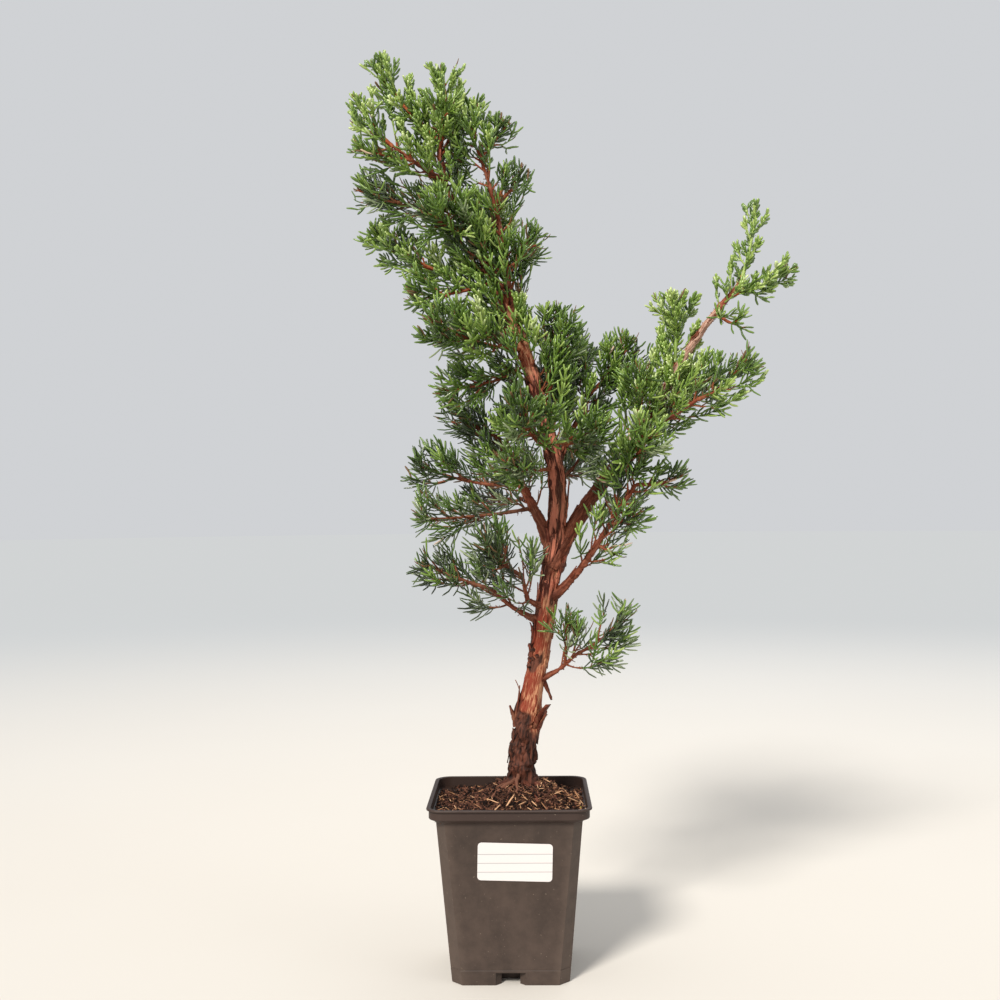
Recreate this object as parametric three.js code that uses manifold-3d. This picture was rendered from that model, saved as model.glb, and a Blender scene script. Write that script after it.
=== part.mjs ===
// A kishu juniper bonsai in its square nursery pot.
//
// A slim trunk leans over the pot and ends in a swept crown on the left. One long limb climbs to the
// right, thinner boughs leave lower down, and tufts of needles fill the room between them. Lengths are
// millimetres. +Z is up, +X is to the right and +Y is away from the viewer. The origin is the middle of
// the pot's underside.
//
// Trunk, roots, boughs, stems and shoots are all the same thing here: a Limb, which starts at a foot,
// follows a few headings and tapers. Bearings turn from +X (0 degrees) through +Y (90), and climbs rise
// from the level (0) to straight up (90). Places along a limb run from its foot (0) to its tip (1).

import * as THREE from "three";
import { mergeVertices } from "three/addons/utils/BufferGeometryUtils.js";
import Module from "manifold-3d";

const wasm = await Module();
wasm.setup();

const { clamp, degToRad, euclideanModulo, lerp, smoothstep } = THREE.MathUtils;

// Gaps between separate pieces, and how far the needles of one mass may run into each other
const SEAT_GAP = 0.3;
const LEAF_GAP = 0.5;
const OWN_OVERLAP = 1.2;

// Pot: half is half the width across the flats, corner is what is cut off each corner, and round turns
// that cut from a straight chamfer (0) into an arc (1).
const POT_HEIGHT = 120;
const POT_FLOOR = 2.5;
const LEDGE_HEIGHT = 111.5;
const FOOT_HALF = 39.5;
const SHOULDER_HALF = 48.7;
const POT_WALL = 1.5;
const POT_OUTSIDE = [
  { z: 0, half: FOOT_HALF, corner: 7.2, round: 0 },
  { z: 110, half: SHOULDER_HALF, corner: 6, round: 0 },
  { z: 113, half: 53.3, corner: 10, round: 1 },
  { z: 118.3, half: 53.3, corner: 10, round: 1 },
  { z: 118.3, half: 55, corner: 11, round: 1 },
  { z: POT_HEIGHT, half: 55, corner: 11, round: 1 },
];
const POT_INSIDE = [
  { z: POT_FLOOR, half: FOOT_HALF - POT_WALL, corner: 6.6, round: 0 },
  { z: LEDGE_HEIGHT, half: SHOULDER_HALF - POT_WALL, corner: 5.4, round: 0 },
  { z: 113.5, half: 51.9, corner: 9.4, round: 1 },
  { z: POT_HEIGHT + 1, half: 52.1, corner: 9.4, round: 1 },
];
const CORNER_POINTS = 3;

// Drain recess in the foot of each side, wide at the face and narrower behind its flared mouth
const RECESS = { mouth: 20, throat: 12.5, flare: 4, depth: 14, height: 8.6, overrun: 3 };

// Soil: nearly level at the pot's wall and heaped round the trunk
const SOIL = {
  level: 109.8,
  riseRight: 0.012,
  riseFront: 0.028,
  crown: 126,
  discRadius: 15,
  moundRadius: 46,
  lump: 1.1,
  rings: 4,
  sidePoints: 3,
  seed: 7,
};

// Label on the pot's front face
const LABEL = { width: 49.5, height: 25.5, corner: 2.5, thickness: 0.3, x: 3.6, z: 84.2, turn: -1.6 };

// Trunk: leans are degrees to the right and to the back, evenly spaced from the ground to the tip
const TRUNK = {
  foot: [8, 0, 126],
  length: 471,
  leans: [[2, 1], [12, -2], [8, 0], [8, 5], [-13, 0], [-16, -5], [-26, -5], [-30, -3], [8, -2]],
  tipRadius: 1.4,
  taper: 8,
  taperPower: 0.85,
  bootRadius: 0.6,
  bootStart: 0.07,
  bootEnd: 0.14,
  flareRadius: 1.2,
  flareLength: 9,
  waistDepth: 1.2,
  waistPlace: 0.165,
  waistWidth: 0.045,
  sides: 10,
  step: 20,
  bulk: 1.12,
};

// Shallow flutes that wind up the trunk, and root ridges that fade out above the ground
const FLUTES = [
  { depth: 0.05, count: 3, wind: 9 },
  { depth: 0.03, count: 5, wind: -14 },
];
const RIDGES = { depth: 0.09, count: 6, turn: 0.5, fade: 14 };

// Roots that show on the mound, and the stubs and bark flaps that stand off the trunk
const ROOTS = [
  { bearing: 288, dip: 24, length: 26, radius: 2.4 },
  { bearing: 244, dip: 27, length: 22, radius: 2.1 },
  { bearing: 325, dip: 26, length: 24, radius: 2 },
  { bearing: 186, dip: 24, length: 23, radius: 2.2 },
  { bearing: 30, dip: 25, length: 22, radius: 2.2 },
  { bearing: 112, dip: 25, length: 24, radius: 2.3 },
];
const ROOT = { inset: 6, lift: 3, sways: [0, 12, -8], dips: [0.5, 1, 1], step: 6, tip: 0.9 };
const STUBS = [
  { at: 0.155, out: 6, bearing: 0, climb: -68, length: 15, radius: 1.7 },
  { at: 0.075, out: 7, bearing: 5, climb: 62, length: 17, radius: 2.6 },
  { at: 0.085, out: 7, bearing: 180, climb: 74, length: 15, radius: 2.2 },
  { at: 0.3, out: 3, bearing: 350, climb: 66, length: 20, radius: 2.8 },
];
const STUB = { step: 8, tip: 0.7 };
const TRIMMING_SIDES = 5;

// Boughs: where each leaves its parent, its length, its radius at foot and tip, and [bearing, climb]
// headings, evenly spaced along it
const BOUGHS = [
  {
    name: "right_limb", on: "trunk", at: 0.32, length: 238, root: 5.6, tip: 1.9,
    headings: [[21, 63], [6, 51], [353, 61], [354, 46]],
  },
  {
    name: "left_limb", on: "trunk", at: 0.35, length: 90, root: 4.1, tip: 1.9,
    headings: [[150, 62], [157, 61], [163, 62]],
  },
  {
    name: "low_left_branch", on: "trunk", at: 0.24, length: 46, root: 2.1, tip: 1.3,
    headings: [[190, 20], [219, 44]],
  },
  {
    name: "low_left_twig", on: "trunk", at: 0.26, length: 38, root: 1.8, tip: 1.2,
    headings: [[218, 9], [279, 71]],
  },
  {
    name: "right_branch", on: "trunk", at: 0.27, length: 104, root: 2.8, tip: 1.4,
    headings: [[338, 37], [342, 57], [345, 55]],
  },
  {
    name: "low_right_branch", on: "trunk", at: 0.15, length: 38, root: 1.9, tip: 1.4,
    headings: [[346, 23], [338, 45]],
  },
  {
    name: "upper_right_branch", on: "trunk", at: 0.7, length: 129, root: 2.4, tip: 1.4,
    headings: [[263, 70], [191, 78], [174, 68]],
  },
  {
    name: "upper_left_branch", on: "trunk", at: 0.92, length: 43, root: 1.8, tip: 1.4,
    headings: [[207, 27], [182, 37]],
  },
  {
    name: "inner_right_branch", on: "trunk", at: 0.47, length: 66, root: 2.6, tip: 1.6,
    headings: [[56, 50], [19, 61]],
  },
  {
    name: "side_branch", on: "right_limb", at: 0.51, length: 44, root: 2.2, tip: 1.4,
    headings: [[314, 0], [344, 39]],
  },
];
const BOUGH = { sides: 6, step: 18 };

// Masses of foliage, by the limb that carries them: where the stem leaves it, the way to its furthest
// needle, how far the foliage spreads from the stem, the bare share of the stem, and how fresh the green
// is, from old and dark (0) to new and bright (1)
const MASSES = {
  trunk: {
    top_left: { at: 0.98, bearing: 186, climb: 50, reach: 75, spread: 21, bare: 0.12, fresh: 0.85 },
    top_middle: { at: 1, bearing: 32, climb: 86, reach: 47, spread: 25, bare: 0.05, fresh: 0.95 },
    top_front: { at: 0.97, bearing: 282, climb: 41, reach: 44, spread: 24, bare: 0.15, fresh: 0.75 },
    top_back: { at: 0.96, bearing: 72, climb: 49, reach: 68, spread: 25, bare: 0.15, fresh: 0.7 },
    upper_left_dark: { at: 0.88, bearing: 177, climb: 12, reach: 75, spread: 22, bare: 0.2, fresh: 0.3 },
    upper_inner: { at: 0.84, bearing: 230, climb: 10, reach: 50, spread: 25, bare: 0.2, fresh: 0.4 },
    upper_back: { at: 0.82, bearing: 71, climb: 40, reach: 63, spread: 25, bare: 0.2, fresh: 0.5 },
    left_strand: { at: 0.74, bearing: 170, climb: 26, reach: 108, spread: 22, bare: 0.3, fresh: 0.7 },
    left_strand_low: { at: 0.76, bearing: 193, climb: -11, reach: 65, spread: 25, bare: 0.2, fresh: 0.65 },
    mid_left_front: { at: 0.65, bearing: 218, climb: 11, reach: 86, spread: 25, bare: 0.2, fresh: 0.5 },
    mid_left: { at: 0.63, bearing: 200, climb: -18, reach: 71, spread: 25, bare: 0.2, fresh: 0.45 },
    mid_left_back: { at: 0.69, bearing: 144, climb: -4, reach: 71, spread: 25, bare: 0.2, fresh: 0.4 },
    crown_front: { at: 0.5, bearing: 256, climb: 15, reach: 93, spread: 28, bare: 0.3, fresh: 0.45 },
    crown_front_low: { at: 0.47, bearing: 240, climb: 2, reach: 75, spread: 24, bare: 0.3, fresh: 0.45 },
    crown_middle: { at: 0.51, bearing: 301, climb: 3, reach: 67, spread: 25, bare: 0.25, fresh: 0.5 },
    crown_top: { at: 0.56, bearing: 3, climb: 78, reach: 75, spread: 24, bare: 0.25, fresh: 0.5 },
    crown_back: { at: 0.58, bearing: 65, climb: 27, reach: 94, spread: 28, bare: 0.25, fresh: 0.4 },
    crown_back_low: { at: 0.45, bearing: 69, climb: 18, reach: 75, spread: 25, bare: 0.25, fresh: 0.3 },
  },
  right_limb: {
    crown_front_right: { at: 0.34, bearing: 289, climb: 18, reach: 79, spread: 25, bare: 0.3, fresh: 0.55 },
    inner_right_low: { at: 0.3, bearing: 73, climb: -45, reach: 39, spread: 18, bare: 0.2, fresh: 0.25 },
    right_inner: { at: 0.48, bearing: 267, climb: 55, reach: 56, spread: 22, bare: 0.2, fresh: 0.55 },
    right_back: { at: 0.54, bearing: 52, climb: 28, reach: 61, spread: 24, bare: 0.15, fresh: 0.5 },
    right_top: { at: 0.68, bearing: 57, climb: 86, reach: 60, spread: 22, bare: 0.15, fresh: 0.95 },
    right_tip_low: { at: 0.89, bearing: 313, climb: -26, reach: 32, spread: 16, bare: 0.1, fresh: 0.6 },
    right_tip_out: { at: 0.96, bearing: 2, climb: 23, reach: 52, spread: 16, bare: 0.1, fresh: 0.85 },
    right_tip_up: { at: 1, bearing: 353, climb: 79, reach: 60, spread: 13, bare: 0.2, fresh: 1 },
  },
  left_limb: {
    low_left_mid: { at: 0.36, bearing: 190, climb: -5, reach: 86, spread: 25, bare: 0.25, fresh: 0.15 },
    low_left_back: { at: 0.46, bearing: 132, climb: -2, reach: 64, spread: 24, bare: 0.2, fresh: 0.2 },
    low_left_upper: { at: 0.56, bearing: 176, climb: 12, reach: 83, spread: 22, bare: 0.3, fresh: 0.35 },
    left_limb_tip: { at: 1, bearing: 176, climb: 31, reach: 47, spread: 25, bare: 0.05, fresh: 0.35 },
  },
  low_left_branch: {
    low_left_tip: { at: 1, bearing: 186, climb: 21, reach: 57, spread: 22, bare: 0.15, fresh: 0.15 },
  },
  low_left_twig: {
    low_left_front: { at: 1, bearing: 230, climb: 35, reach: 55, spread: 24, bare: 0.15, fresh: 0.2 },
  },
  right_branch: {
    right_branch_low: { at: 0.53, bearing: 334, climb: -25, reach: 25, spread: 16, bare: 0.2, fresh: 0.35 },
    right_branch_side: { at: 0.68, bearing: 325, climb: 21, reach: 32, spread: 18, bare: 0.2, fresh: 0.4 },
    right_branch_tip: { at: 1, bearing: 354, climb: 10, reach: 39, spread: 16, bare: 0.15, fresh: 0.45 },
  },
  low_right_branch: {
    low_right_inner: { at: 0.69, bearing: 272, climb: 70, reach: 44, spread: 18, bare: 0.2, fresh: 0.35 },
    low_right_tip: { at: 1, bearing: 352, climb: 40, reach: 53, spread: 24, bare: 0.1, fresh: 0.35 },
  },
  upper_right_branch: {
    upper_right_low: { at: 0.26, bearing: 340, climb: 45, reach: 39, spread: 25, bare: 0.15, fresh: 0.5 },
    upper_right_mid: { at: 0.6, bearing: 7, climb: 53, reach: 36, spread: 21, bare: 0.15, fresh: 0.55 },
    upper_right_side: { at: 0.87, bearing: 346, climb: 48, reach: 34, spread: 21, bare: 0.1, fresh: 0.7 },
    upper_right_tip: { at: 1, bearing: 126, climb: 85, reach: 29, spread: 18, bare: 0.05, fresh: 0.8 },
  },
  upper_left_branch: {
    left_tip_low: { at: 0.63, bearing: 194, climb: 11, reach: 43, spread: 21, bare: 0.2, fresh: 0.6 },
    left_tip: { at: 1, bearing: 181, climb: 51, reach: 46, spread: 21, bare: 0.1, fresh: 0.9 },
  },
  inner_right_branch: {
    crown_top_right: { at: 1, bearing: 349, climb: 50, reach: 51, spread: 25, bare: 0.05, fresh: 0.5 },
  },
  side_branch: {
    right_side: { at: 1, bearing: 355, climb: 36, reach: 52, spread: 25, bare: 0.05, fresh: 0.55 },
  },
};

// The rule that every mass grows by. Twigs are three-sided, and each ring of corners is turned 60 degrees
// from the last, so that every band between two rings has three faces that point ahead. Shoots turn by the
// golden angle from one to the next along the stem, and needles stand in whorls of three, each on a face.
const GOLDEN_ANGLE = 137.5;
const RING_TURN = 60;
const SIDE_TURN = 120;
const SIDES = [0, 1, 2];
const FACE_MIDDLE = 0.25;
const VARIATION = 0.15;
const STEM = { lift: 12, root: 1.6, belly: 3.4, tip: 1.6, step: 12, turn: 20 };
const SHOOT = {
  gap: 8.5,
  splay: 62,
  splayAtTip: 34,
  swing: 10,
  shortest: 12,
  root: 1,
  belly: 3.4,
  neck: 2.6,
  leafFrom: 0.3,
  held: 0.35,
  seed: 1100,
};
const NEEDLE = {
  length: 19,
  whorlGap: 7.5,
  splay: 50,
  splayAtTip: 26,
  root: 1.2,
  sunk: 0.3,
  ahead: 0.45,
  tuft: 4,
  beyond: 1.25,
  spread: 25,
  seed: 5200,
};

// How the spread changes along a stem: where it is widest, how bluntly it ends, and its swell and least
const FULLNESS = { lean: 0.8, blunt: 0.6, swell: 0.75, least: 0.3 };

// Plain colours, roughness and the colours that the green runs between
const FINISHES = {
  pot: { color: 0x3b3532, roughness: 0.6 },
  soil: { color: 0x3a2a20, roughness: 1 },
  label: { color: 0xf1f0ec, roughness: 0.7 },
  bark: { color: 0x7a4a36, roughness: 0.9 },
  oldLeaf: { color: 0x2c4a34, roughness: 0.6 },
  newLeaf: { color: 0x7da64a, roughness: 0.6 },
};

// Directions and chance

const UP = new THREE.Vector3(0, 0, 1);
const RIGHT = new THREE.Vector3(1, 0, 0);
const STEEP = 0.9;
const EPSILON = 0.000001;

function heading(bearing, climb) {
  const level = Math.cos(degToRad(climb));
  const turn = degToRad(bearing);
  return new THREE.Vector3(level * Math.cos(turn), level * Math.sin(turn), Math.sin(degToRad(climb)));
}

function lean(right, back) {
  return new THREE.Vector3(Math.tan(degToRad(right)), Math.tan(degToRad(back)), 1).normalize();
}

// A stream of numbers from 0 to 1 that is the same on every run
function seeded(seed) {
  let state = seed >>> 0;
  return () => {
    state = (state + 0x6d2b79f5) >>> 0;
    let mixed = Math.imul(state ^ (state >>> 15), state | 1);
    mixed ^= mixed + Math.imul(mixed ^ (mixed >>> 7), mixed | 61);
    return ((mixed ^ (mixed >>> 14)) >>> 0) / 4294967296;
  };
}

// A value made a little more or less by chance
function varied(value, draw) {
  return value * (1 + VARIATION * (2 * draw() - 1));
}

// The value at a place from 0 to 1 in a row of vectors
function blend(row, place) {
  const scaled = clamp(place, 0, 1) * (row.length - 1);
  const low = Math.min(Math.floor(scaled), row.length - 2);
  return row[low].clone().lerp(row[low + 1], scaled - low);
}

// A tapering limb: points along its course, with a direction and a sideways vector at each
class Limb {
  constructor({ foot, headings, length, step, radius, relief = () => 1, bulk = 1 }) {
    const count = Math.max(headings.length > 1 ? 2 : 1, Math.floor(length / step + 0.5));
    const aheads = [];
    this.points = [foot.clone()];
    this.radius = radius;
    this.relief = relief;
    this.bulk = bulk;
    for (let k = 0; k < count; k++) {
      const ahead = headings.length > 1 ? blend(headings, (k + 0.5) / count).normalize() : headings[0];
      aheads.push(ahead);
      this.points.push(this.points[k].clone().addScaledVector(ahead, length / count));
    }
    this.directions = this.points.map((_, k) => {
      const before = aheads[Math.max(k - 1, 0)];
      const after = aheads[Math.min(k, count - 1)];
      return before.clone().add(after).normalize();
    });
    const first = this.directions[0];
    const reference = Math.abs(first.z) < STEEP ? UP : RIGHT;
    this.sides = [reference.clone().cross(first).normalize()];
    for (let k = 1; k <= count; k++) {
      this.sides.push(squared(this.sides[k - 1], this.directions[k]));
    }
  }

  at(place) {
    const point = blend(this.points, place);
    const ahead = blend(this.directions, place).normalize();
    const side = squared(blend(this.sides, place), ahead);
    return { point, ahead, side, up: ahead.clone().cross(side) };
  }

  // The straight stretches between its points, each with its radius at both ends
  stretches(owner, from = 0) {
    const count = this.points.length - 1;
    const list = [];
    for (let k = Math.floor(from * count); k < count; k++) {
      const radii = [this.radius(k / count) * this.bulk, this.radius((k + 1) / count) * this.bulk];
      list.push({ from: this.points[k], to: this.points[k + 1], radii, owner, limb: this });
    }
    return list;
  }
}

// A vector with its part along the direction taken out
function squared(vector, direction) {
  return vector.clone().addScaledVector(direction, -vector.dot(direction)).normalize();
}

// The way out of a limb at a place: away from its axis at an angle, turned round it by another
function outward(frame, turn, splay) {
  const round = degToRad(turn);
  const open = degToRad(splay);
  const way = frame.ahead.clone().multiplyScalar(Math.cos(open));
  way.addScaledVector(frame.side, Math.cos(round) * Math.sin(open));
  return way.addScaledVector(frame.up, Math.sin(round) * Math.sin(open)).normalize();
}

// Solids

function solidFrom(geometry) {
  const bare = geometry.clone();
  bare.deleteAttribute("normal");
  bare.deleteAttribute("uv");
  const merged = mergeVertices(bare);
  return new wasm.Manifold(new wasm.Mesh({
    numProp: 3,
    vertProperties: merged.attributes.position.array,
    triVerts: Uint32Array.from(merged.index.array),
  }));
}

function geometryFrom(solid) {
  const mesh = solid.getMesh();
  const geometry = new THREE.BufferGeometry();
  geometry.setAttribute("position", new THREE.BufferAttribute(mesh.vertProperties, 3));
  geometry.setIndex(new THREE.BufferAttribute(mesh.triVerts, 1));
  geometry.computeVertexNormals();
  return geometry;
}

// The largest of the bodies that a cut leaves
function largest(solid) {
  const bodies = solid.decompose();
  return bodies.reduce((best, body) => (body.volume() > best.volume() ? body : best));
}

// A plain cylinder bent along a limb and given its radius; grow makes it stouter and longer on all
// sides, which gives the room that the next piece keeps clear of.
function limbSolid(limb, sides, grow = 0) {
  const steps = limb.points.length - 1;
  const blank = new THREE.CylinderGeometry(1, 1, 1, sides, steps);
  blank.rotateX(Math.PI / 2);
  blank.translate(0, 0, 0.5);
  const margin = grow / Math.cos(Math.PI / sides);
  const position = blank.attributes.position;
  const vertex = new THREE.Vector3();
  for (let k = 0; k < position.count; k++) {
    vertex.fromBufferAttribute(position, k);
    const place = clamp(vertex.z, 0, 1);
    const frame = limb.at(place);
    const turn = Math.atan2(vertex.y, vertex.x);
    const onAxis = Math.hypot(vertex.x, vertex.y) < EPSILON;
    const out = onAxis ? 0 : limb.radius(place) * limb.relief(place, turn) + margin;
    vertex.copy(frame.point);
    if (place < EPSILON) vertex.addScaledVector(frame.ahead, -grow);
    if (place > 1 - EPSILON) vertex.addScaledVector(frame.ahead, grow);
    vertex.addScaledVector(frame.side, out * Math.cos(turn));
    vertex.addScaledVector(frame.up, out * Math.sin(turn));
    position.setXYZ(k, vertex.x, vertex.y, vertex.z);
  }
  return solidFrom(blank);
}

// A closed solid through rings of equally many points, counter-clockwise from above, lowest first
function loft(rings) {
  const count = rings[0].length;
  const top = (rings.length - 1) * count;
  const index = [];
  for (let level = 0; level < top; level += count) {
    for (let k = 0; k < count; k++) {
      const next = (k + 1) % count;
      index.push(level + k, level + next, level + count + next);
      index.push(level + k, level + count + next, level + count + k);
    }
  }
  for (const [a, b, c] of THREE.ShapeUtils.triangulateShape([...rings[0]], [])) {
    index.push(c, b, a);
  }
  for (const [a, b, c] of THREE.ShapeUtils.triangulateShape([...rings.at(-1)], [])) {
    index.push(top + a, top + b, top + c);
  }
  const geometry = new THREE.BufferGeometry().setFromPoints(rings.flat());
  geometry.setIndex(index);
  return geometry;
}

// A square ring with cut or rounded corners, and more points along its sides where they are needed
function squareRing({ z, half, corner, round }, sidePoints = 0) {
  const ring = [];
  const flat = half - corner;
  for (let quarter = 0; quarter < 4; quarter++) {
    const turn = (quarter * Math.PI) / 2;
    for (let k = 0; k < CORNER_POINTS; k++) {
      const step = k / (CORNER_POINTS - 1);
      const arc = (step * Math.PI) / 2;
      const x = lerp(half - corner * step, flat + corner * Math.cos(arc), round);
      const y = lerp(flat + corner * step, flat + corner * Math.sin(arc), round);
      ring.push(new THREE.Vector3(x, y, z).applyAxisAngle(UP, turn));
    }
    for (let k = 1; k <= sidePoints; k++) {
      const x = lerp(flat, -flat, k / (sidePoints + 1));
      ring.push(new THREE.Vector3(x, half, z).applyAxisAngle(UP, turn));
    }
  }
  return ring;
}

// Pot

// The room of one drain recess, made larger all round by margin, which is also its housing inside the pot
function recessTool(margin, low) {
  const { mouth, throat, flare, depth, height, overrun } = RECESS;
  const face = FOOT_HALF + overrun;
  const plan = new THREE.Shape([
    new THREE.Vector2(-mouth / 2 - margin, -face),
    new THREE.Vector2(mouth / 2 + margin, -face),
    new THREE.Vector2(mouth / 2 + margin, -FOOT_HALF),
    new THREE.Vector2(throat / 2 + margin, -FOOT_HALF + flare),
    new THREE.Vector2(throat / 2 + margin, -FOOT_HALF + depth + margin),
    new THREE.Vector2(-throat / 2 - margin, -FOOT_HALF + depth + margin),
    new THREE.Vector2(-throat / 2 - margin, -FOOT_HALF + flare),
    new THREE.Vector2(-mouth / 2 - margin, -FOOT_HALF),
  ]);
  const tall = height + margin - low;
  return new THREE.ExtrudeGeometry(plan, { depth: tall, bevelEnabled: false }).translate(0, 0, low);
}

function recesses(margin, low) {
  const tools = [];
  for (let quarter = 0; quarter < 4; quarter++) {
    tools.push(solidFrom(recessTool(margin, low).rotateZ((quarter * Math.PI) / 2)));
  }
  return wasm.Manifold.union(tools);
}

function makePot() {
  const outside = solidFrom(loft(POT_OUTSIDE.map((ring) => squareRing(ring))));
  const inside = solidFrom(loft(POT_INSIDE.map((ring) => squareRing(ring))));
  const housings = recesses(POT_WALL, 0).intersect(outside);
  return outside.subtract(inside).add(housings).subtract(recesses(0, -RECESS.overrun));
}

// Soil

function wallRing(z) {
  const [low, high] = POT_INSIDE;
  const share = (z - low.z) / (high.z - low.z);
  const half = lerp(low.half, high.half, share) - SEAT_GAP;
  return { z, half, corner: lerp(low.corner, high.corner, share), round: 0 };
}

function groundHeight(point) {
  const [footX, footY] = TRUNK.foot;
  const level = SOIL.level + SOIL.riseRight * point.x - SOIL.riseFront * point.y;
  const away = Math.hypot(point.x - footX, point.y - footY);
  return lerp(SOIL.crown, level, smoothstep(away, SOIL.discRadius, SOIL.moundRadius));
}

// The soil's rings from the pot's floor up its wall and in over the mound to a flat disc at the trunk
function makeSoil(raise = 0) {
  const draw = seeded(SOIL.seed);
  const foot = new THREE.Vector3(...TRUNK.foot);
  const rings = [squareRing(wallRing(POT_FLOOR + SEAT_GAP), SOIL.sidePoints)];
  const edge = squareRing(wallRing(SOIL.level), SOIL.sidePoints).map((point, k) => (
    squareRing(wallRing(groundHeight(point)), SOIL.sidePoints)[k]
  ));
  for (let k = 0; k <= SOIL.rings; k++) {
    const share = k / SOIL.rings;
    const ends = k === 0 || k === SOIL.rings;
    rings.push(edge.map((corner) => {
      const away = corner.clone().sub(foot).setZ(0).setLength(SOIL.discRadius);
      const point = corner.clone().lerp(foot.clone().add(away), share);
      const lump = SOIL.lump * (draw() - 0.5) * 2;
      const height = k === SOIL.rings ? SOIL.crown : groundHeight(point);
      return point.setZ(height + raise + (ends ? 0 : lump));
    }));
  }
  return solidFrom(loft(rings)).subtract(recesses(POT_WALL + SEAT_GAP, 0));
}

// Label

function makeLabel() {
  const { width, height, corner, thickness } = LABEL;
  const x = width / 2 - corner;
  const y = height / 2 - corner;
  const outline = new THREE.Shape();
  outline.absarc(x, y, corner, 0, Math.PI / 2);
  outline.absarc(-x, y, corner, Math.PI / 2, Math.PI);
  outline.absarc(-x, -y, corner, Math.PI, 1.5 * Math.PI);
  outline.absarc(x, -y, corner, 1.5 * Math.PI, 2 * Math.PI);
  return new THREE.ExtrudeGeometry(outline, { depth: thickness, bevelEnabled: false, curveSegments: 3 });
}

// Lays the label against the sloping front face, with the seat gap under it
function placeLabel(mesh) {
  const [foot, shoulder] = POT_OUTSIDE;
  const slope = Math.atan2(shoulder.half - foot.half, shoulder.z - foot.z);
  const face = foot.half + Math.tan(slope) * LABEL.z;
  const offFace = new THREE.Vector3(0, -Math.cos(slope), -Math.sin(slope)).multiplyScalar(SEAT_GAP);
  mesh.position.set(LABEL.x, -face, LABEL.z).add(offFace);
  mesh.rotation.set(Math.PI / 2 + slope, 0, degToRad(LABEL.turn));
}

// Trunk and boughs

function trunkRadius(place) {
  const fromGround = place * TRUNK.length;
  const tapered = TRUNK.tipRadius + TRUNK.taper * (1 - place) ** TRUNK.taperPower;
  const boot = TRUNK.bootRadius * (1 - smoothstep(place, TRUNK.bootStart, TRUNK.bootEnd));
  const flare = TRUNK.flareRadius * Math.exp(-fromGround / TRUNK.flareLength);
  const waist = TRUNK.waistDepth * Math.exp(-(((place - TRUNK.waistPlace) / TRUNK.waistWidth) ** 2));
  return tapered + boot + flare - waist;
}

function trunkRelief(place, turn) {
  const flutes = FLUTES.map(({ depth, count, wind }) => depth * Math.sin(count * turn + wind * place));
  const fade = Math.exp((-place * TRUNK.length) / RIDGES.fade);
  const ridge = RIDGES.depth * fade * Math.cos(RIDGES.count * turn + RIDGES.turn);
  return flutes.reduce((sum, flute) => sum + flute, 1 + ridge);
}

function makeTrunkLimb() {
  return new Limb({
    foot: new THREE.Vector3(...TRUNK.foot),
    headings: TRUNK.leans.map(([right, back]) => lean(right, back)),
    length: TRUNK.length,
    step: TRUNK.step,
    radius: trunkRadius,
    relief: trunkRelief,
    bulk: TRUNK.bulk,
  });
}

// A root starts inside the trunk's foot and dips with the mound, so that its upper half shows
function makeRootLimb({ bearing, dip, length, radius }) {
  const foot = new THREE.Vector3(...TRUNK.foot).addScaledVector(heading(bearing, 0), ROOT.inset);
  foot.z += ROOT.lift;
  return new Limb({
    foot,
    headings: ROOT.sways.map((sway, k) => heading(bearing + sway, -dip * ROOT.dips[k])),
    length,
    step: ROOT.step,
    radius: (place) => lerp(radius, ROOT.tip, place),
  });
}

function makeStubLimb(trunk, { at, out, bearing, climb, length, radius }) {
  const foot = trunk.at(at).point.addScaledVector(heading(bearing, 0), out);
  return new Limb({
    foot,
    headings: [heading(bearing, climb)],
    length,
    step: STUB.step,
    radius: (place) => lerp(radius, STUB.tip, place),
  });
}

function makeBoughLimb(parent, { at, headings, length, root, tip }) {
  return new Limb({
    foot: parent.at(at).point,
    headings: headings.map(([bearing, climb]) => heading(bearing, climb)),
    length,
    step: BOUGH.step,
    radius: (place) => lerp(root, tip, place),
  });
}

// Foliage

// The least distance between two stretches, less their radii there
function gapBetween(one, other) {
  const along = one.to.clone().sub(one.from);
  const across = other.to.clone().sub(other.from);
  const between = one.from.clone().sub(other.from);
  const a = along.dot(along);
  const b = along.dot(across);
  const c = across.dot(across);
  const d = along.dot(between);
  const e = across.dot(between);
  const spread = a * c - b * b;
  let s = spread > EPSILON ? clamp((b * e - c * d) / spread, 0, 1) : 0;
  const t = clamp((b * s + e) / c, 0, 1);
  s = clamp((b * t - d) / a, 0, 1);
  const apart = between.addScaledVector(along, s).addScaledVector(across, -t).length();
  return apart - lerp(...one.radii, s) - lerp(...other.radii, t);
}

function distanceToStretch(point, { from, to }) {
  const line = new THREE.Line3(from, to);
  return line.closestPointToPoint(point, true, new THREE.Vector3()).distanceTo(point);
}

// How far out of a mass's stem a point lies: 0 on it, 1 at the edge of the mass's space
function outness(mass, point) {
  const distances = mass.leafy.map((stretch) => distanceToStretch(point, stretch));
  return Math.min(...distances) / mass.spread;
}

// Whether a point is in a mass's own space, and nearer its stem than any other mass's
function inSpace(point, mass, masses, reach) {
  const own = outness(mass, point);
  return own <= reach && masses.every((other) => other === mass || outness(other, point) >= own);
}

// Whether a piece keeps its gap to the others; pieces of one mass may run into each other a little
function isClear(piece, others) {
  return others.every((other) => (
    gapBetween(piece, other) >= (other.owner === piece.owner ? -OWN_OVERLAP : LEAF_GAP)
  ));
}

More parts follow.
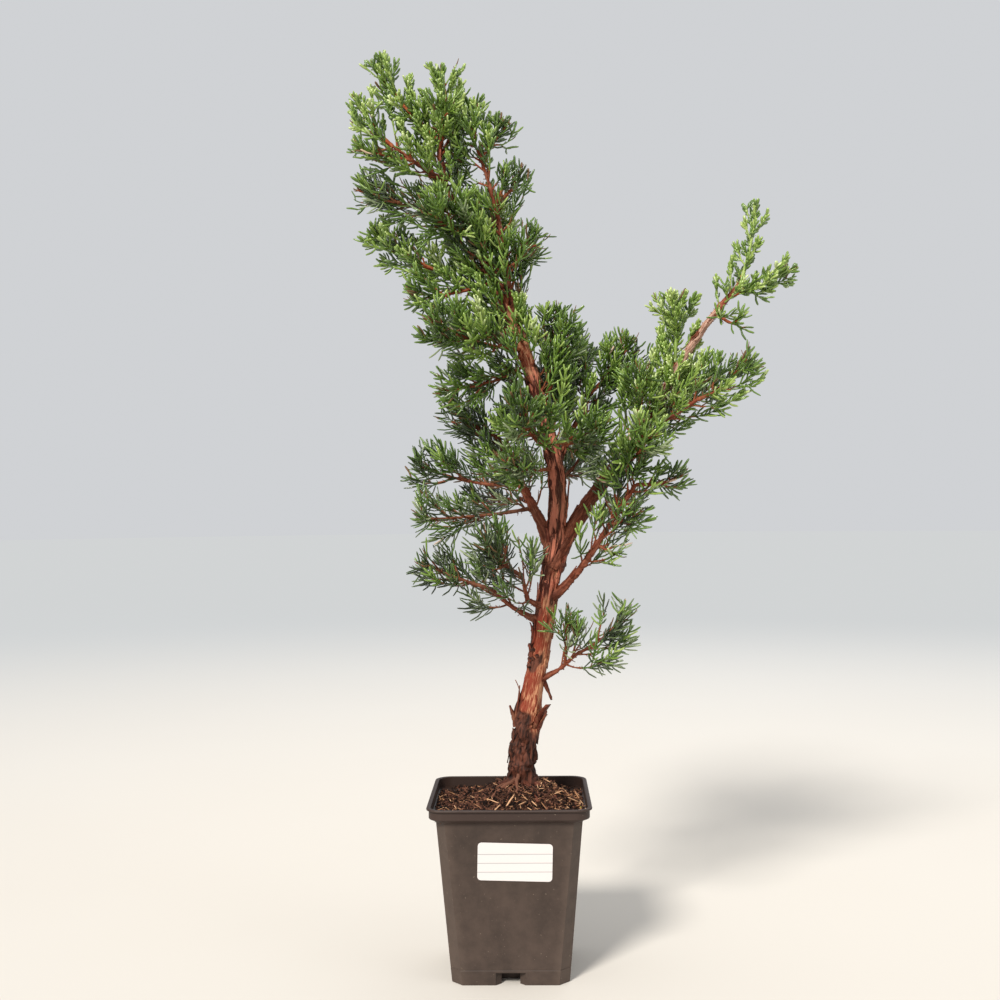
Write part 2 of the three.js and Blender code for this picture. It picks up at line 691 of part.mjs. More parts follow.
// A twig with the places of its rings and the band that its first whorl stands on
function makeTwig(limb, length, turn, first, leafFrom, step) {
  const leafEnd = 1 - NEEDLE.tuft / length;
  const bareCount = Math.max(Math.floor(((leafFrom - first) * length) / step + 0.5), 1);
  const whorls = Math.max(Math.floor(((leafEnd - leafFrom) * length) / NEEDLE.whorlGap + 0.5), 1);
  const bare = Array.from({ length: bareCount }, (_, k) => lerp(first, leafFrom, k / bareCount));
  const leafy = Array.from({ length: whorls + 1 }, (_, k) => lerp(leafFrom, leafEnd, k / whorls));
  return { limb, length, turn, places: [...bare, ...leafy], firstWhorl: bareCount, whorls, used: [] };
}

// The turn round the twig of the face that points ahead on a side of a band
function faceTurn(twig, band, side) {
  return twig.turn + RING_TURN * (band + 1) + SIDE_TURN * side;
}

// The place on the twig's axis from where a shoot or needle comes out through the middle of such a face
function facePlace(twig, band) {
  return lerp(twig.places[band], twig.places[band + 1], FACE_MIDDLE);
}

// A mass starts as its stem, which lifts its tip as it grows
function makeMass(row, index, limbs) {
  const scale = Math.min(row.spread / NEEDLE.spread, 1);
  const length = row.reach - NEEDLE.length * scale * NEEDLE.ahead;
  const limb = new Limb({
    foot: limbs[row.on].at(row.at).point,
    headings: [heading(row.bearing, row.climb - STEM.lift), heading(row.bearing, row.climb + STEM.lift)],
    length,
    step: STEM.step,
    radius: (place) => (place < row.bare ? STEM.root : lerp(STEM.belly, STEM.tip, place)),
  });
  const stem = makeTwig(limb, length, STEM.turn, 0, row.bare, STEM.step);
  return { ...row, index, scale, stem, leafy: limb.stretches(row.name, row.bare), shoots: [] };
}

// How far the foliage spreads at a place on the leafy stem: full past its middle, narrow at the tip
function fullness(place) {
  return Math.sin(Math.PI * place ** FULLNESS.lean) ** FULLNESS.blunt * FULLNESS.swell + FULLNESS.least;
}

// Shoots turn by the golden angle along the stem, and each comes out of the face nearest its turn
function growShoots(mass, masses, taken) {
  const draw = seeded(SHOOT.seed + mass.index);
  const { stem } = mass;
  const count = Math.min(Math.floor((stem.length * (1 - mass.bare)) / SHOOT.gap + 0.5), stem.whorls);
  let turn = 360 * draw();
  for (let k = 0; k < count; k++) {
    const share = (k + 0.5) / count;
    const band = stem.firstWhorl + Math.floor(share * stem.whorls);
    turn += GOLDEN_ANGLE;
    const nearest = Math.floor((turn - faceTurn(stem, band, 0)) / SIDE_TURN + 0.5);
    const side = euclideanModulo(nearest, SIDES.length);
    const splay = lerp(SHOOT.splay, SHOOT.splayAtTip, share) + SHOOT.swing * (draw() - 0.5);
    const across = mass.spread * fullness(share) - NEEDLE.length * mass.scale * SHOOT.held;
    const length = varied(Math.max(across / Math.sin(degToRad(splay)), SHOOT.shortest), draw);
    const frame = stem.limb.at(facePlace(stem, band));
    const shoot = new Limb({
      foot: frame.point,
      headings: [outward(frame, faceTurn(stem, band, side), splay)],
      length,
      step: length,
      radius: (place) => lerp(SHOOT.root, SHOOT.belly, Math.sin(Math.PI * place)),
    });
    const [stretch] = shoot.stretches(mass.name);
    const others = taken.filter((other) => other.owner !== mass.name);
    if (inSpace(stretch.to, mass, masses, 1) && isClear(stretch, others)) {
      mass.shoots.push(makeTwig(shoot, length, turn, SHOOT.neck / length, SHOOT.leafFrom, length));
      stem.used.push(band * SIDES.length + side);
      taken.push(stretch);
    }
  }
}

// A needle stands on each face of a twig's whorls that carries no shoot, where it fits
function growNeedles(twig, mass, masses, taken, draw) {
  const { limb, firstWhorl, whorls } = twig;
  const others = taken.filter((other) => other.limb !== limb);
  const needles = new Map();
  for (let whorl = 0; whorl < whorls; whorl++) {
    const band = firstWhorl + whorl;
    const frame = limb.at(facePlace(twig, band));
    const share = whorl / Math.max(whorls - 1, 1);
    for (const side of SIDES) {
      const splay = varied(lerp(NEEDLE.splay, NEEDLE.splayAtTip, share), draw);
      const reach = varied(NEEDLE.length * mass.scale, draw);
      const tip = outward(frame, faceTurn(twig, band, side), splay).multiplyScalar(reach).add(frame.point);
      const from = frame.point.clone().lerp(tip, NEEDLE.sunk);
      const needle = { from, to: tip, radii: [NEEDLE.root, 0], owner: mass.name, limb };
      const face = band * SIDES.length + side;
      const fits = inSpace(tip, mass, masses, NEEDLE.beyond) && isClear(needle, others);
      if (fits && !twig.used.includes(face)) {
        needles.set(face, tip);
        taken.push(needle);
      }
    }
  }
  return needles;
}

// The twig as one closed body: a fan from its root point, its bands with their needles, and a pointed tip
function twigSolid({ limb, turn, places }, needles) {
  const rings = places.map((place, k) => {
    const frame = limb.at(place);
    return SIDES.map((side) => {
      const out = outward(frame, turn + RING_TURN * k + SIDE_TURN * side, 90);
      return out.multiplyScalar(limb.radius(place)).add(frame.point);
    });
  });
  const points = [...rings.flat(), limb.points[0], limb.points.at(-1)];
  const tip = points.length - 1;
  const last = SIDES.length * (rings.length - 1);
  const index = [];
  for (const side of SIDES) {
    const next = (side + 1) % SIDES.length;
    const before = (side + 2) % SIDES.length;
    index.push(tip - 1, next, side);
    index.push(last + side, last + next, tip);
    for (let low = 0; low < last; low += SIDES.length) {
      const high = low + SIDES.length;
      const face = [low + side, low + next, high + side];
      const needle = needles.get(low + side);
      index.push(low + side, high + side, high + before);
      if (needle) {
        points.push(needle);
        SIDES.forEach((k) => index.push(face[k], face[(k + 1) % SIDES.length], points.length - 1));
      } else {
        index.push(...face);
      }
    }
  }
  const geometry = new THREE.BufferGeometry().setFromPoints(points);
  geometry.setIndex(index);
  return solidFrom(geometry);
}

// Stem and shoots with their needles, fused to one body and cut clear of the limb that carries it
function fuseMass(mass, masses, taken, room) {
  const draw = seeded(NEEDLE.seed + mass.index);
  const [stem, ...shoots] = [mass.stem, ...mass.shoots].map((twig) => (
    twigSolid(twig, growNeedles(twig, mass, masses, taken, draw))
  ));
  return largest(wasm.Manifold.union([largest(stem.subtract(room)), ...shoots]));
}

// Assembly

const bonsai = new THREE.Group();
bonsai.name = "kishu_juniper_bonsai";

function addPiece(name, geometry, finish) {
  const material = new THREE.MeshStandardMaterial({ metalness: 0, flatShading: true, ...finish });
  const mesh = new THREE.Mesh(geometry, material);
  mesh.name = name;
  bonsai.add(mesh);
  return mesh;
}

addPiece("pot", geometryFrom(makePot()), FINISHES.pot);
addPiece("soil", geometryFrom(makeSoil()), FINISHES.soil);
placeLabel(addPiece("label", makeLabel(), FINISHES.label));

const limbs = { trunk: makeTrunkLimb() };
const trimmings = [
  ...ROOTS.map(makeRootLimb),
  ...STUBS.map((stub) => makeStubLimb(limbs.trunk, stub)),
];

// The trunk with all that stands off it, made stouter by grow
function trunkSolid(grow) {
  const body = limbSolid(limbs.trunk, TRUNK.sides, grow);
  return wasm.Manifold.union([body, ...trimmings.map((limb) => limbSolid(limb, TRIMMING_SIDES, grow))]);
}

const trunk = largest(trunkSolid(0).subtract(makeSoil(SEAT_GAP)));
addPiece("trunk", geometryFrom(trunk), FINISHES.bark);

// What each limb and the gap round it take up, which the pieces that leave it keep clear of
const rooms = { trunk: trunkSolid(SEAT_GAP) };
for (const row of BOUGHS) {
  const limb = makeBoughLimb(limbs[row.on], row);
  const bough = largest(limbSolid(limb, BOUGH.sides).subtract(rooms[row.on]));
  limbs[row.name] = limb;
  rooms[row.name] = limbSolid(limb, BOUGH.sides, SEAT_GAP);
  addPiece(row.name, geometryFrom(bough), FINISHES.bark);
}

const masses = Object.entries(MASSES)
  .flatMap(([on, rows]) => Object.entries(rows).map(([name, row]) => ({ name, on, ...row })))
  .map((row, index) => makeMass(row, index, limbs));
const taken = [
  ...Object.entries(limbs).flatMap(([name, limb]) => limb.stretches(name)),
  ...trimmings.flatMap((limb) => limb.stretches("trunk")),
  ...masses.flatMap((mass) => mass.stem.limb.stretches(mass.name)),
];
masses.forEach((mass) => growShoots(mass, masses, taken));

for (const mass of masses) {
  const green = new THREE.Color(FINISHES.oldLeaf.color);
  green.lerp(new THREE.Color(FINISHES.newLeaf.color), mass.fresh);
  const finish = { color: green, roughness: FINISHES.oldLeaf.roughness };
  addPiece(mass.name, geometryFrom(fuseMass(mass, masses, taken, rooms[mass.on])), finish);
}

export default bonsai;
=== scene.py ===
# %% [markdown]
# # A kishu juniper bonsai in its nursery pot
#
# This lesson dresses a plain solid model as the real tree. The solids give the place of every limb and
# every mass of foliage. Here the trunk and boughs get peeling bark, and each mass is grown again by the
# same rule as its solid, but with finer twigs and some fifteen thousand needles. The pot, its soil and
# its label are finished last.

# %% Load the frame
import math

import bpy
import numpy as np
from mathutils import Matrix, Vector, noise


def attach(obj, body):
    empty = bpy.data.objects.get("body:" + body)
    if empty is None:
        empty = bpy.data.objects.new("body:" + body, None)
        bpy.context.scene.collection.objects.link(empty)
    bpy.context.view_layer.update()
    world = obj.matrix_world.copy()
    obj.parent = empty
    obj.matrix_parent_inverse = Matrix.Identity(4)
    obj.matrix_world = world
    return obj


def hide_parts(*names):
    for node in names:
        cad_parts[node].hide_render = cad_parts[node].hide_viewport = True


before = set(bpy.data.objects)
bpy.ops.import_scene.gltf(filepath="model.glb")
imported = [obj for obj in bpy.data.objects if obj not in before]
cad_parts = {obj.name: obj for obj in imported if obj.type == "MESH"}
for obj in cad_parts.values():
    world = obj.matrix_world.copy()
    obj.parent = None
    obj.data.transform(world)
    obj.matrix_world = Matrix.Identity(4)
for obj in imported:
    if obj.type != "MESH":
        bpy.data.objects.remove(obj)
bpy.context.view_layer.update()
print("the frame has", len(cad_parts), "nodes")

# %% [markdown]
# ## Camera
#
# The camera stands where the photographer's stood, about 92 cm in front of the trunk and level with the
# middle of the tree. Its lens was worked out from the pot's corners. The picture is a touch crooked, so
# the camera's own upward direction leans slightly to the right.

# %% Camera
MM = 0.001
EYE = (14.4, -920.0, 323.1)
YAW, ROLL = 0.0211, 0.0095
LENS, SENSOR = 47.66, 36.0

right = Vector((math.cos(YAW), math.sin(YAW), -ROLL)).normalized()
forward = Vector((-math.sin(YAW), math.cos(YAW), 0)).normalized()
above = right.cross(forward)
camera = bpy.data.objects.new("camera", bpy.data.cameras.new("camera"))
camera.data.lens, camera.data.sensor_width = LENS, SENSOR
camera.data.clip_start = 0.01
facing = Matrix((right, above, -forward)).transposed().to_4x4()
camera.matrix_world = Matrix.Translation(Vector(EYE) * MM) @ facing
bpy.context.collection.objects.link(camera)
bpy.context.scene.camera = camera
print("the camera looks along", [round(part, 3) for part in forward])

# %% [markdown]
# ## Shader maths
#
# A material in Blender is a net of small nodes, and a formula takes many of them. This class wraps one
# socket of a node, so that a formula can be written as plain Python: each operator adds its own Math
# node. A second class keeps one material and gives one method for every other kind of node.


# %% Shader maths
class Value:
    """A number that a material works out anew at each point of a surface."""

    def __init__(self, tree, socket):
        self.tree, self.socket = tree, socket

    def maths(self, operation, *values):
        node = self.tree.nodes.new("ShaderNodeMath")
        node.operation = operation
        for socket, value in zip(node.inputs, values):
            plug(self.tree, socket, value)
        return Value(self.tree, node.outputs[0])

    def __add__(self, other):
        return self.maths("ADD", self, other)

    def __sub__(self, other):
        return self.maths("SUBTRACT", self, other)

    def __rsub__(self, other):
        return self.maths("SUBTRACT", other, self)

    def __mul__(self, other):
        return self.maths("MULTIPLY", self, other)

    def __abs__(self):
        return self.maths("ABSOLUTE", self)

    def between(self, low, high):
        """0 below low, 1 above high, and a smooth rise from one to the other."""
        node = self.tree.nodes.new("ShaderNodeMapRange")
        node.interpolation_type = "SMOOTHSTEP"
        for name, value in (("Value", self), ("From Min", low), ("From Max", high)):
            plug(self.tree, node.inputs[name], value)
        return Value(self.tree, node.outputs["Result"])

    __radd__, __rmul__ = __add__, __mul__


def plug(tree, socket, value):
    """Links a value to a socket, or writes a plain number or colour there."""
    if isinstance(value, Value):
        tree.links.new(value.socket, socket)
    elif isinstance(value, bpy.types.NodeSocket):
        tree.links.new(value, socket)
    else:
        socket.default_value = value


def colour(code):
    """A colour from its six-figure code, as the light values that Blender counts in."""
    parts = [int(code[k : k + 2], 16) / 255 for k in (0, 2, 4)]
    return (*[part / 12.92 if part <= 0.04045 else ((part + 0.055) / 1.055) ** 2.4 for part in parts], 1.0)


print("a middle grey in light values:", round(colour("808080")[0], 3))


# %% A material and its nodes
class Finish:
    """One material, with its main shader and a method that adds any other node."""

    def __init__(self, name, **plain):
        self.material = bpy.data.materials.new(name)
        self.material.use_nodes = True
        self.tree = self.material.node_tree
        self.shader = self.tree.nodes["Principled BSDF"]
        self.set(**plain)

    def set(self, **sockets):
        for name, value in sockets.items():
            plug(self.tree, self.shader.inputs[name.replace("_", " ")], value)

    def node(self, kind, settings, output, **sockets):
        node = self.tree.nodes.new("ShaderNode" + kind)
        for name, setting in settings.items():
            setattr(node, name, setting)
        for name, value in sockets.items():
            plug(self.tree, node.inputs[name.replace("_", " ")], value)
        return Value(self.tree, node.outputs[output])

    def mix(self, share, first, second):
        """Two colours mixed by a share from 0 to 1."""
        node = self.tree.nodes.new("ShaderNodeMix")
        node.data_type = "RGBA"
        for socket, value in ((node.inputs[0], share), (node.inputs[6], first), (node.inputs[7], second)):
            plug(self.tree, socket, value)
        return Value(self.tree, node.outputs[2])

    def clouds(self, place, size, detail=3.0, rough=0.55):
        """Soft patches that are about size across, from 0 to 1."""
        return self.node("TexNoise", {}, "Fac", Vector=place, Scale=1 / size, Detail=detail, Roughness=rough)

    def attribute(self, name, output="Fac"):
        return self.node("Attribute", {"attribute_name": name}, output)

    def spot(self):
        """Where each point of a piece lies, in metres from the middle of the pot's foot."""
        return self.node("TexCoord", {}, "Object")

    def along(self, axis):
        return self.node("SeparateXYZ", {}, axis, Vector=self.spot())

    def bump(self, height, strength, distance):
        bumped = self.node("Bump", {}, "Normal", Height=height, Strength=strength, Distance=distance)
        self.set(Normal=bumped)


print("shader maths is ready")

# %% [markdown]
# ## Floor and light
#
# The tree stands on a plain pale floor with pale air behind it. The key light comes from the front and
# the left, from so far off that it falls on the whole floor alike, and it is wide enough for soft shadows.
# A weaker lamp from the other side opens the shadows, and one from behind puts a thin bright edge on the
# needles. Far out the floor's paint turns to the tone of the air, so that no horizon cuts the picture.

# %% Floor
FLOOR_RADIUS, FLOOR_POINTS = 12.0, 64
FADE = 2.8  # metres from the tree to where the floor has taken the tone of the air

turns = np.linspace(0, math.tau, FLOOR_POINTS, endpoint=False)
circle = [(math.cos(turn) * FLOOR_RADIUS, math.sin(turn) * FLOOR_RADIUS, 0) for turn in turns]
floor_mesh = bpy.data.meshes.new("floor")
floor_mesh.from_pydata(circle, [], [list(range(FLOOR_POINTS))])
floor = bpy.data.objects.new("floor", floor_mesh)
bpy.context.collection.objects.link(floor)
paint = Finish("pale_floor", Roughness=0.9, Specular_IOR_Level=0.0)
away = paint.node("VectorMath", {"operation": "LENGTH"}, "Value", Vector=paint.spot())
near = paint.mix(paint.clouds(paint.spot(), 0.5), colour("d9d4cc"), colour("d5cfc6"))
paint.set(Base_Color=paint.mix(away.between(0.0, FADE), near, colour("b6b9bb")))
floor.data.materials.append(paint.material)
print("the floor reaches", FLOOR_RADIUS, "m out")

# %% Lamps and air
KEY = {"from": (-0.75, -1.5, 1.3), "strength": 3.8, "angle": 14, "tint": (1.0, 0.96, 0.9)}
LAMPS = {
    "fill": {"at": (1.6, -1.0, 0.95), "size": 0.9, "watts": 3, "tint": (0.96, 0.98, 1.0)},
    "back": {"at": (0.5, 1.5, 1.5), "size": 1.2, "watts": 5, "tint": (1.0, 1.0, 1.0)},
}
AIM = Vector((0.03, 0, 0.33))  # the middle of the tree, at which the lamps point
AIR_TINT, AIR_STRENGTH = (0.94, 0.96, 0.99, 1.0), 0.67

world = bpy.data.worlds.new("air")
world.use_nodes = True
air = world.node_tree.nodes["Background"]
air.inputs["Color"].default_value, air.inputs["Strength"].default_value = AIR_TINT, AIR_STRENGTH
bpy.context.scene.world = world
bpy.context.scene.view_settings.view_transform = "Standard"
key = bpy.data.objects.new("key", bpy.data.lights.new("key", "SUN"))
key.data.energy, key.data.angle, key.data.color = KEY["strength"], math.radians(KEY["angle"]), KEY["tint"]
key.rotation_euler = (-Vector(KEY["from"])).to_track_quat("-Z", "Y").to_euler()
bpy.context.collection.objects.link(key)
for name, lamp in LAMPS.items():
    light = bpy.data.lights.new(name, "AREA")
    light.size, light.energy, light.color = lamp["size"], lamp["watts"], lamp["tint"]
    holder = bpy.data.objects.new(name, light)
    holder.location = lamp["at"]
    holder.rotation_euler = (AIM - Vector(lamp["at"])).to_track_quat("-Z", "Y").to_euler()
    holder.visible_camera = False
    bpy.context.collection.objects.link(holder)
print("lamps: key,", ", ".join(LAMPS))

# %% [markdown]
# ## Directions, chance and limbs
#
# Lengths below are millimetres, and the finished meshes are scaled to metres. A limb starts at a foot,
# follows a few headings and tapers. Trunk, boughs, stems and shoots are all limbs, so one class does for
# all. Its frame at a place gives the point, the way ahead and two ways across, which is all that bark or
# the next twig needs to know. The stream of chance numbers repeats itself on every run.

# %% Directions and chance
UP, RIGHT = np.array([0.0, 0.0, 1.0]), np.array([1.0, 0.0, 0.0])
STEEP, EPSILON = 0.9, 0.000001


def unit(vectors):
    return vectors / np.linalg.norm(vectors, axis=-1, keepdims=True)


def lerp(low, high, share):
    return low + (high - low) * share


def smoothstep(value, low, high):
    share = np.clip((value - low) / (high - low), 0, 1)
    return share * share * (3 - 2 * share)


def heading(bearing, climb):
    turn, rise = math.radians(bearing), math.radians(climb)
    return np.array([math.cos(rise) * math.cos(turn), math.cos(rise) * math.sin(turn), math.sin(rise)])


def lean(to_right, to_back):
    return unit(np.array([math.tan(math.radians(to_right)), math.tan(math.radians(to_back)), 1.0]))


def seeded(seed):
    """A stream of numbers from 0 to 1 that is the same on every run."""
    state = seed & 0xFFFFFFFF

    def draw():
        nonlocal state
        state = (state + 0x6D2B79F5) & 0xFFFFFFFF
        mixed = ((state ^ (state >> 15)) * (state | 1)) & 0xFFFFFFFF
        mixed ^= (mixed + (((mixed ^ (mixed >> 7)) * (mixed | 61)) & 0xFFFFFFFF)) & 0xFFFFFFFF
        return (mixed ^ (mixed >> 14)) / 4294967296

    return draw


def blend(row, place):
    """The value at a place from 0 to 1 in a row of vectors."""
    scaled = np.clip(place, 0, 1) * (len(row) - 1)
    low = np.minimum(np.floor(scaled).astype(int), len(row) - 2)
    return row[low] + (row[low + 1] - row[low]) * (scaled - low)[..., None]


def squared(vectors, ahead):
    """Vectors with their part along the way ahead taken out."""
    return unit(vectors - ahead * np.sum(vectors * ahead, axis=-1, keepdims=True))


print("a test draw:", round(seeded(1)(), 6))


# %% Limbs
class Limb:
    """A course of points with a direction and a sideways vector at each."""

    def __init__(self, foot, headings, length, step, radius, bulk=1.0):
        count = max(2 if len(headings) > 1 else 1, math.floor(length / step + 0.5))
        row = np.array(headings if len(headings) > 1 else headings * 2)
        aheads = unit(blend(row, (np.arange(count) + 0.5) / count))
        self.points = np.vstack([foot, foot + np.cumsum(aheads, axis=0) * length / count])
        before, after = np.vstack([aheads[:1], aheads]), np.vstack([aheads, aheads[-1:]])
        self.directions = unit(before + after)
        self.length, self.radius, self.bulk = length, radius, bulk
        first = self.directions[0]
        sides = [unit(np.cross(UP if abs(first[2]) < STEEP else RIGHT, first))]
        for ahead in self.directions[1:]:
            sides.append(squared(sides[-1], ahead))
        self.sides = np.array(sides)

    def at(self, place):
        """Point, way ahead, side and up at a place, or at each of many places."""
        place = np.asarray(place, float)
        ahead = unit(blend(self.directions, place))
        side = squared(blend(self.sides, place), ahead)
        return blend(self.points, place), ahead, side, np.cross(ahead, side)

    def stretches(self, start=0.0):
        """Rows of two end points and two radii, for the straight stretches between its points."""
        count = len(self.points) - 1
        rows = []
        for k in range(math.floor(start * count), count):
            radii = [self.radius(k / count) * self.bulk, self.radius((k + 1) / count) * self.bulk]
            rows.append([*self.points[k], *self.points[k + 1], *radii])
        return rows


def outward(ahead, side, up, turn, splay):
    """The way out of a limb, at an angle from its axis and turned round it by another, in degrees."""
    turned, open_by = np.radians(turn)[..., None], np.radians(splay)[..., None]
    across = side * np.cos(turned) + up * np.sin(turned)
    return unit(ahead * np.cos(open_by) + across * np.sin(open_by))


print("straight up, opened by 60 degrees:", outward(UP, RIGHT, np.cross(UP, RIGHT), 0, 60).round(2))

# %% [markdown]
# ## The limbs of this tree
#
# These rows are the measures of the trunk, its roots and stubs, and the ten boughs, as the solid model
# has them. Leans are degrees to the right and to the back. A bearing turns from the right (0) through
# the back (90), and a climb rises from the level (0) to straight up (90).

# %% Trunk and boughs as limbs
TRUNK = {
    "foot": (8, 0, 126), "length": 471, "tip": 1.4, "taper": 8, "power": 0.85,
    "boot": 0.6, "boot_from": 0.07, "boot_to": 0.14, "flare": 1.2, "flare_length": 9, "bulk": 1.12,
    "waist": 1.2, "waist_at": 0.165, "waist_width": 0.045,
    "leans": [(2, 1), (12, -2), (8, 0), (8, 5), (-13, 0), (-16, -5), (-26, -5), (-30, -3), (8, -2)],
}
ROOTS = [  # bearing, dip, length, radius
    (288, 24, 26, 1.8), (244, 27, 22, 1.6), (325, 26, 24, 1.5),
    (186, 24, 23, 1.6), (30, 25, 22, 1.6), (112, 25, 24, 1.7),
]
STUBS = [  # place, how far out, bearing, climb, length, radius
    (0.155, 6, 0, -68, 15, 1.7), (0.075, 7, 5, 62, 17, 2.6),
    (0.085, 7, 180, 74, 15, 2.2), (0.3, 3, 350, 66, 20, 2.8),
]
BOUGHS = {  # parent, place on it, length, radius at the foot and at the tip, bearings and climbs
    "right_limb": ("trunk", 0.32, 238, 5.6, 1.9, [(21, 63), (6, 51), (353, 61), (354, 46)]),
    "left_limb": ("trunk", 0.35, 90, 4.1, 1.9, [(150, 62), (157, 61), (163, 62)]),
    "low_left_branch": ("trunk", 0.24, 46, 2.1, 1.3, [(190, 20), (219, 44)]),
    "low_left_twig": ("trunk", 0.26, 38, 1.8, 1.2, [(218, 9), (279, 71)]),
    "right_branch": ("trunk", 0.27, 104, 2.8, 1.4, [(338, 37), (342, 57), (345, 55)]),
    "low_right_branch": ("trunk", 0.15, 38, 1.9, 1.4, [(346, 23), (338, 45)]),
    "upper_right_branch": ("trunk", 0.7, 129, 2.4, 1.4, [(263, 70), (191, 78), (174, 68)]),
    "upper_left_branch": ("trunk", 0.92, 43, 1.8, 1.4, [(207, 27), (182, 37)]),
    "inner_right_branch": ("trunk", 0.47, 66, 2.6, 1.6, [(56, 50), (19, 61)]),
    "side_branch": ("right_limb", 0.51, 44, 2.2, 1.4, [(314, 0), (344, 39)]),
}


def trunk_radius(place):
    boot = TRUNK["boot"] * (1 - smoothstep(place, TRUNK["boot_from"], TRUNK["boot_to"]))
    flare = TRUNK["flare"] * np.exp(-place * TRUNK["length"] / TRUNK["flare_length"])
    waist = TRUNK["waist"] * np.exp(-(((place - TRUNK["waist_at"]) / TRUNK["waist_width"]) ** 2))
    return TRUNK["tip"] + TRUNK["taper"] * (1 - place) ** TRUNK["power"] + boot + flare - waist


def tapered(root, tip):
    return lambda place: lerp(root, tip, place)


STEPS = {"trunk": 20, "bough": 18, "root": 6, "stub": 8}  # mm from point to point of a limb's course
ROOT_FOOT = {"out": 6, "up": 3}  # where a root leaves the trunk's foot
ROOT_WAYS = ((0, 0.5), (12, 1), (-8, 1))  # sway from its bearing, and share of its dip
ROOT_TIP, STUB_TIP = 0.9, 0.7
trunk_foot = np.array(TRUNK["foot"], float)
leans = [lean(*row) for row in TRUNK["leans"]]
limbs = {"trunk": Limb(trunk_foot, leans, TRUNK["length"], STEPS["trunk"], trunk_radius, TRUNK["bulk"])}
for name, (parent, at, length, root, tip, headings) in BOUGHS.items():
    ways = [heading(*row) for row in headings]
    limbs[name] = Limb(limbs[parent].at(at)[0], ways, length, STEPS["bough"], tapered(root, tip))
root_limbs = []
for bearing, dip, length, radius in ROOTS:
    foot = trunk_foot + heading(bearing, 0) * ROOT_FOOT["out"] + UP * ROOT_FOOT["up"]
    ways = [heading(bearing + sway, -dip * share) for sway, share in ROOT_WAYS]
    root_limbs.append(Limb(foot, ways, length, STEPS["root"], tapered(radius, ROOT_TIP)))
stub_limbs = []
for at, out, bearing, climb, length, radius in STUBS:
    foot = limbs["trunk"].at(at)[0] + heading(bearing, 0) * out
    radius = tapered(radius, STUB_TIP)
    stub_limbs.append(Limb(foot, [heading(bearing, climb)], length, STEPS["stub"], radius))
print("limbs:", ", ".join(limbs))

# %% [markdown]
# ## From numbers to pieces
#
# A mesh with hundreds of thousands of faces is best handed to Blender as whole arrays, because adding
# faces one by one is slow. Every piece comes through this one helper. It turns millimetres to metres,
# gives each face its finish, lets the piece ride on the tree and hides the solids that it stands for.

# %% A helper that makes a piece


def make_piece(name, points, faces, finishes, slot, replaced=(), shares=None, notes=None, smooth=True):
    """points in mm, faces as rows of three corners, shares as the finish of each face, and notes as
    numbers or vectors at the points that a material can read."""
    mesh = bpy.data.meshes.new(name)
    points, faces = np.asarray(points, np.float32), np.asarray(faces, np.int32)
    mesh.vertices.add(len(points))
    mesh.vertices.foreach_set("co", (points * MM).ravel())
    mesh.loops.add(faces.size)
    mesh.loops.foreach_set("vertex_index", faces.ravel())
    mesh.polygons.add(len(faces))
    mesh.polygons.foreach_set("loop_start", np.arange(0, faces.size, 3, dtype=np.int32))
    mesh.polygons.foreach_set("use_smooth", np.full(len(faces), smooth))
    for finish in finishes:
        mesh.materials.append(finish.material)
    if shares is not None:
        mesh.polygons.foreach_set("material_index", np.asarray(shares, np.int32))
    for note, values in (notes or {}).items():
        kind, field = ("FLOAT_VECTOR", "vector") if values.ndim > 1 else ("FLOAT", "value")
        mesh.attributes.new(note, kind, "POINT").data.foreach_set(field, values.astype(np.float32).ravel())
    mesh.update(calc_edges=True)
    piece = bpy.data.objects.new(name, mesh)
    bpy.context.collection.objects.link(piece)
    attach(piece, "root")
    if replaced:
        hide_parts(*replaced)
    print(f"{name}: {len(faces)} triangles")
    return piece


class Heap:
    """Meshes gathered one after another, to be joined in one piece."""

    def __init__(self):
        self.points, self.faces, self.shares, self.notes, self.count = [], [], [], {}, 0

    def add(self, points, faces, share=0, **notes):
        self.points.append(points)
        self.faces.append(faces + self.count)
        self.shares.append(np.broadcast_to(share, len(faces)))
        for name, values in notes.items():
            self.notes.setdefault(name, []).append(values)
        self.count += len(points)

    def piece(self, name, finishes, slot, replaced=(), smooth=True):
        notes = {note: np.concatenate(values) for note, values in self.notes.items()}
        joined = np.concatenate(self.points), np.concatenate(self.faces)
        return make_piece(name, *joined, finishes, slot, replaced, np.concatenate(self.shares), notes, smooth)


def grid_faces(rows, columns):
    """Triangles between rows of points, each row joined round, so that they make a tube."""
    row, column = np.meshgrid(np.arange(rows - 1), np.arange(columns), indexing="ij")
    here, there = row * columns + column, row * columns + (column + 1) % columns
    corners = [here, there, there + columns, here, there + columns, here + columns]
    return np.stack(corners, axis=-1).reshape(-1, 3)


def repeated(pattern, count, points_each):
    """The faces of many copies of one small mesh."""
    return (np.arange(count)[:, None, None] * points_each + pattern).reshape(-1, 3)


# %% [markdown]
# ## Bark
#
# Juniper bark is a coat of thin fibres. It peels in long strips, and under them the wood is smooth and
# red. On this tree the foot of the trunk still wears its dark old bark in thick plates, the middle is
# peeled to red and tan, and the top is dark again and knobbly. All of it is real relief in the mesh. For
# the strips, a noise that is stretched along the limb is cut into terraces, so each strip ends in a sharp
# step, as a peeled layer does. For the plates, space is divided into cells, and the borders between them
# sink into clefts. The grain note keeps each point's place along and round the limb for the finer fibres
# of the material.

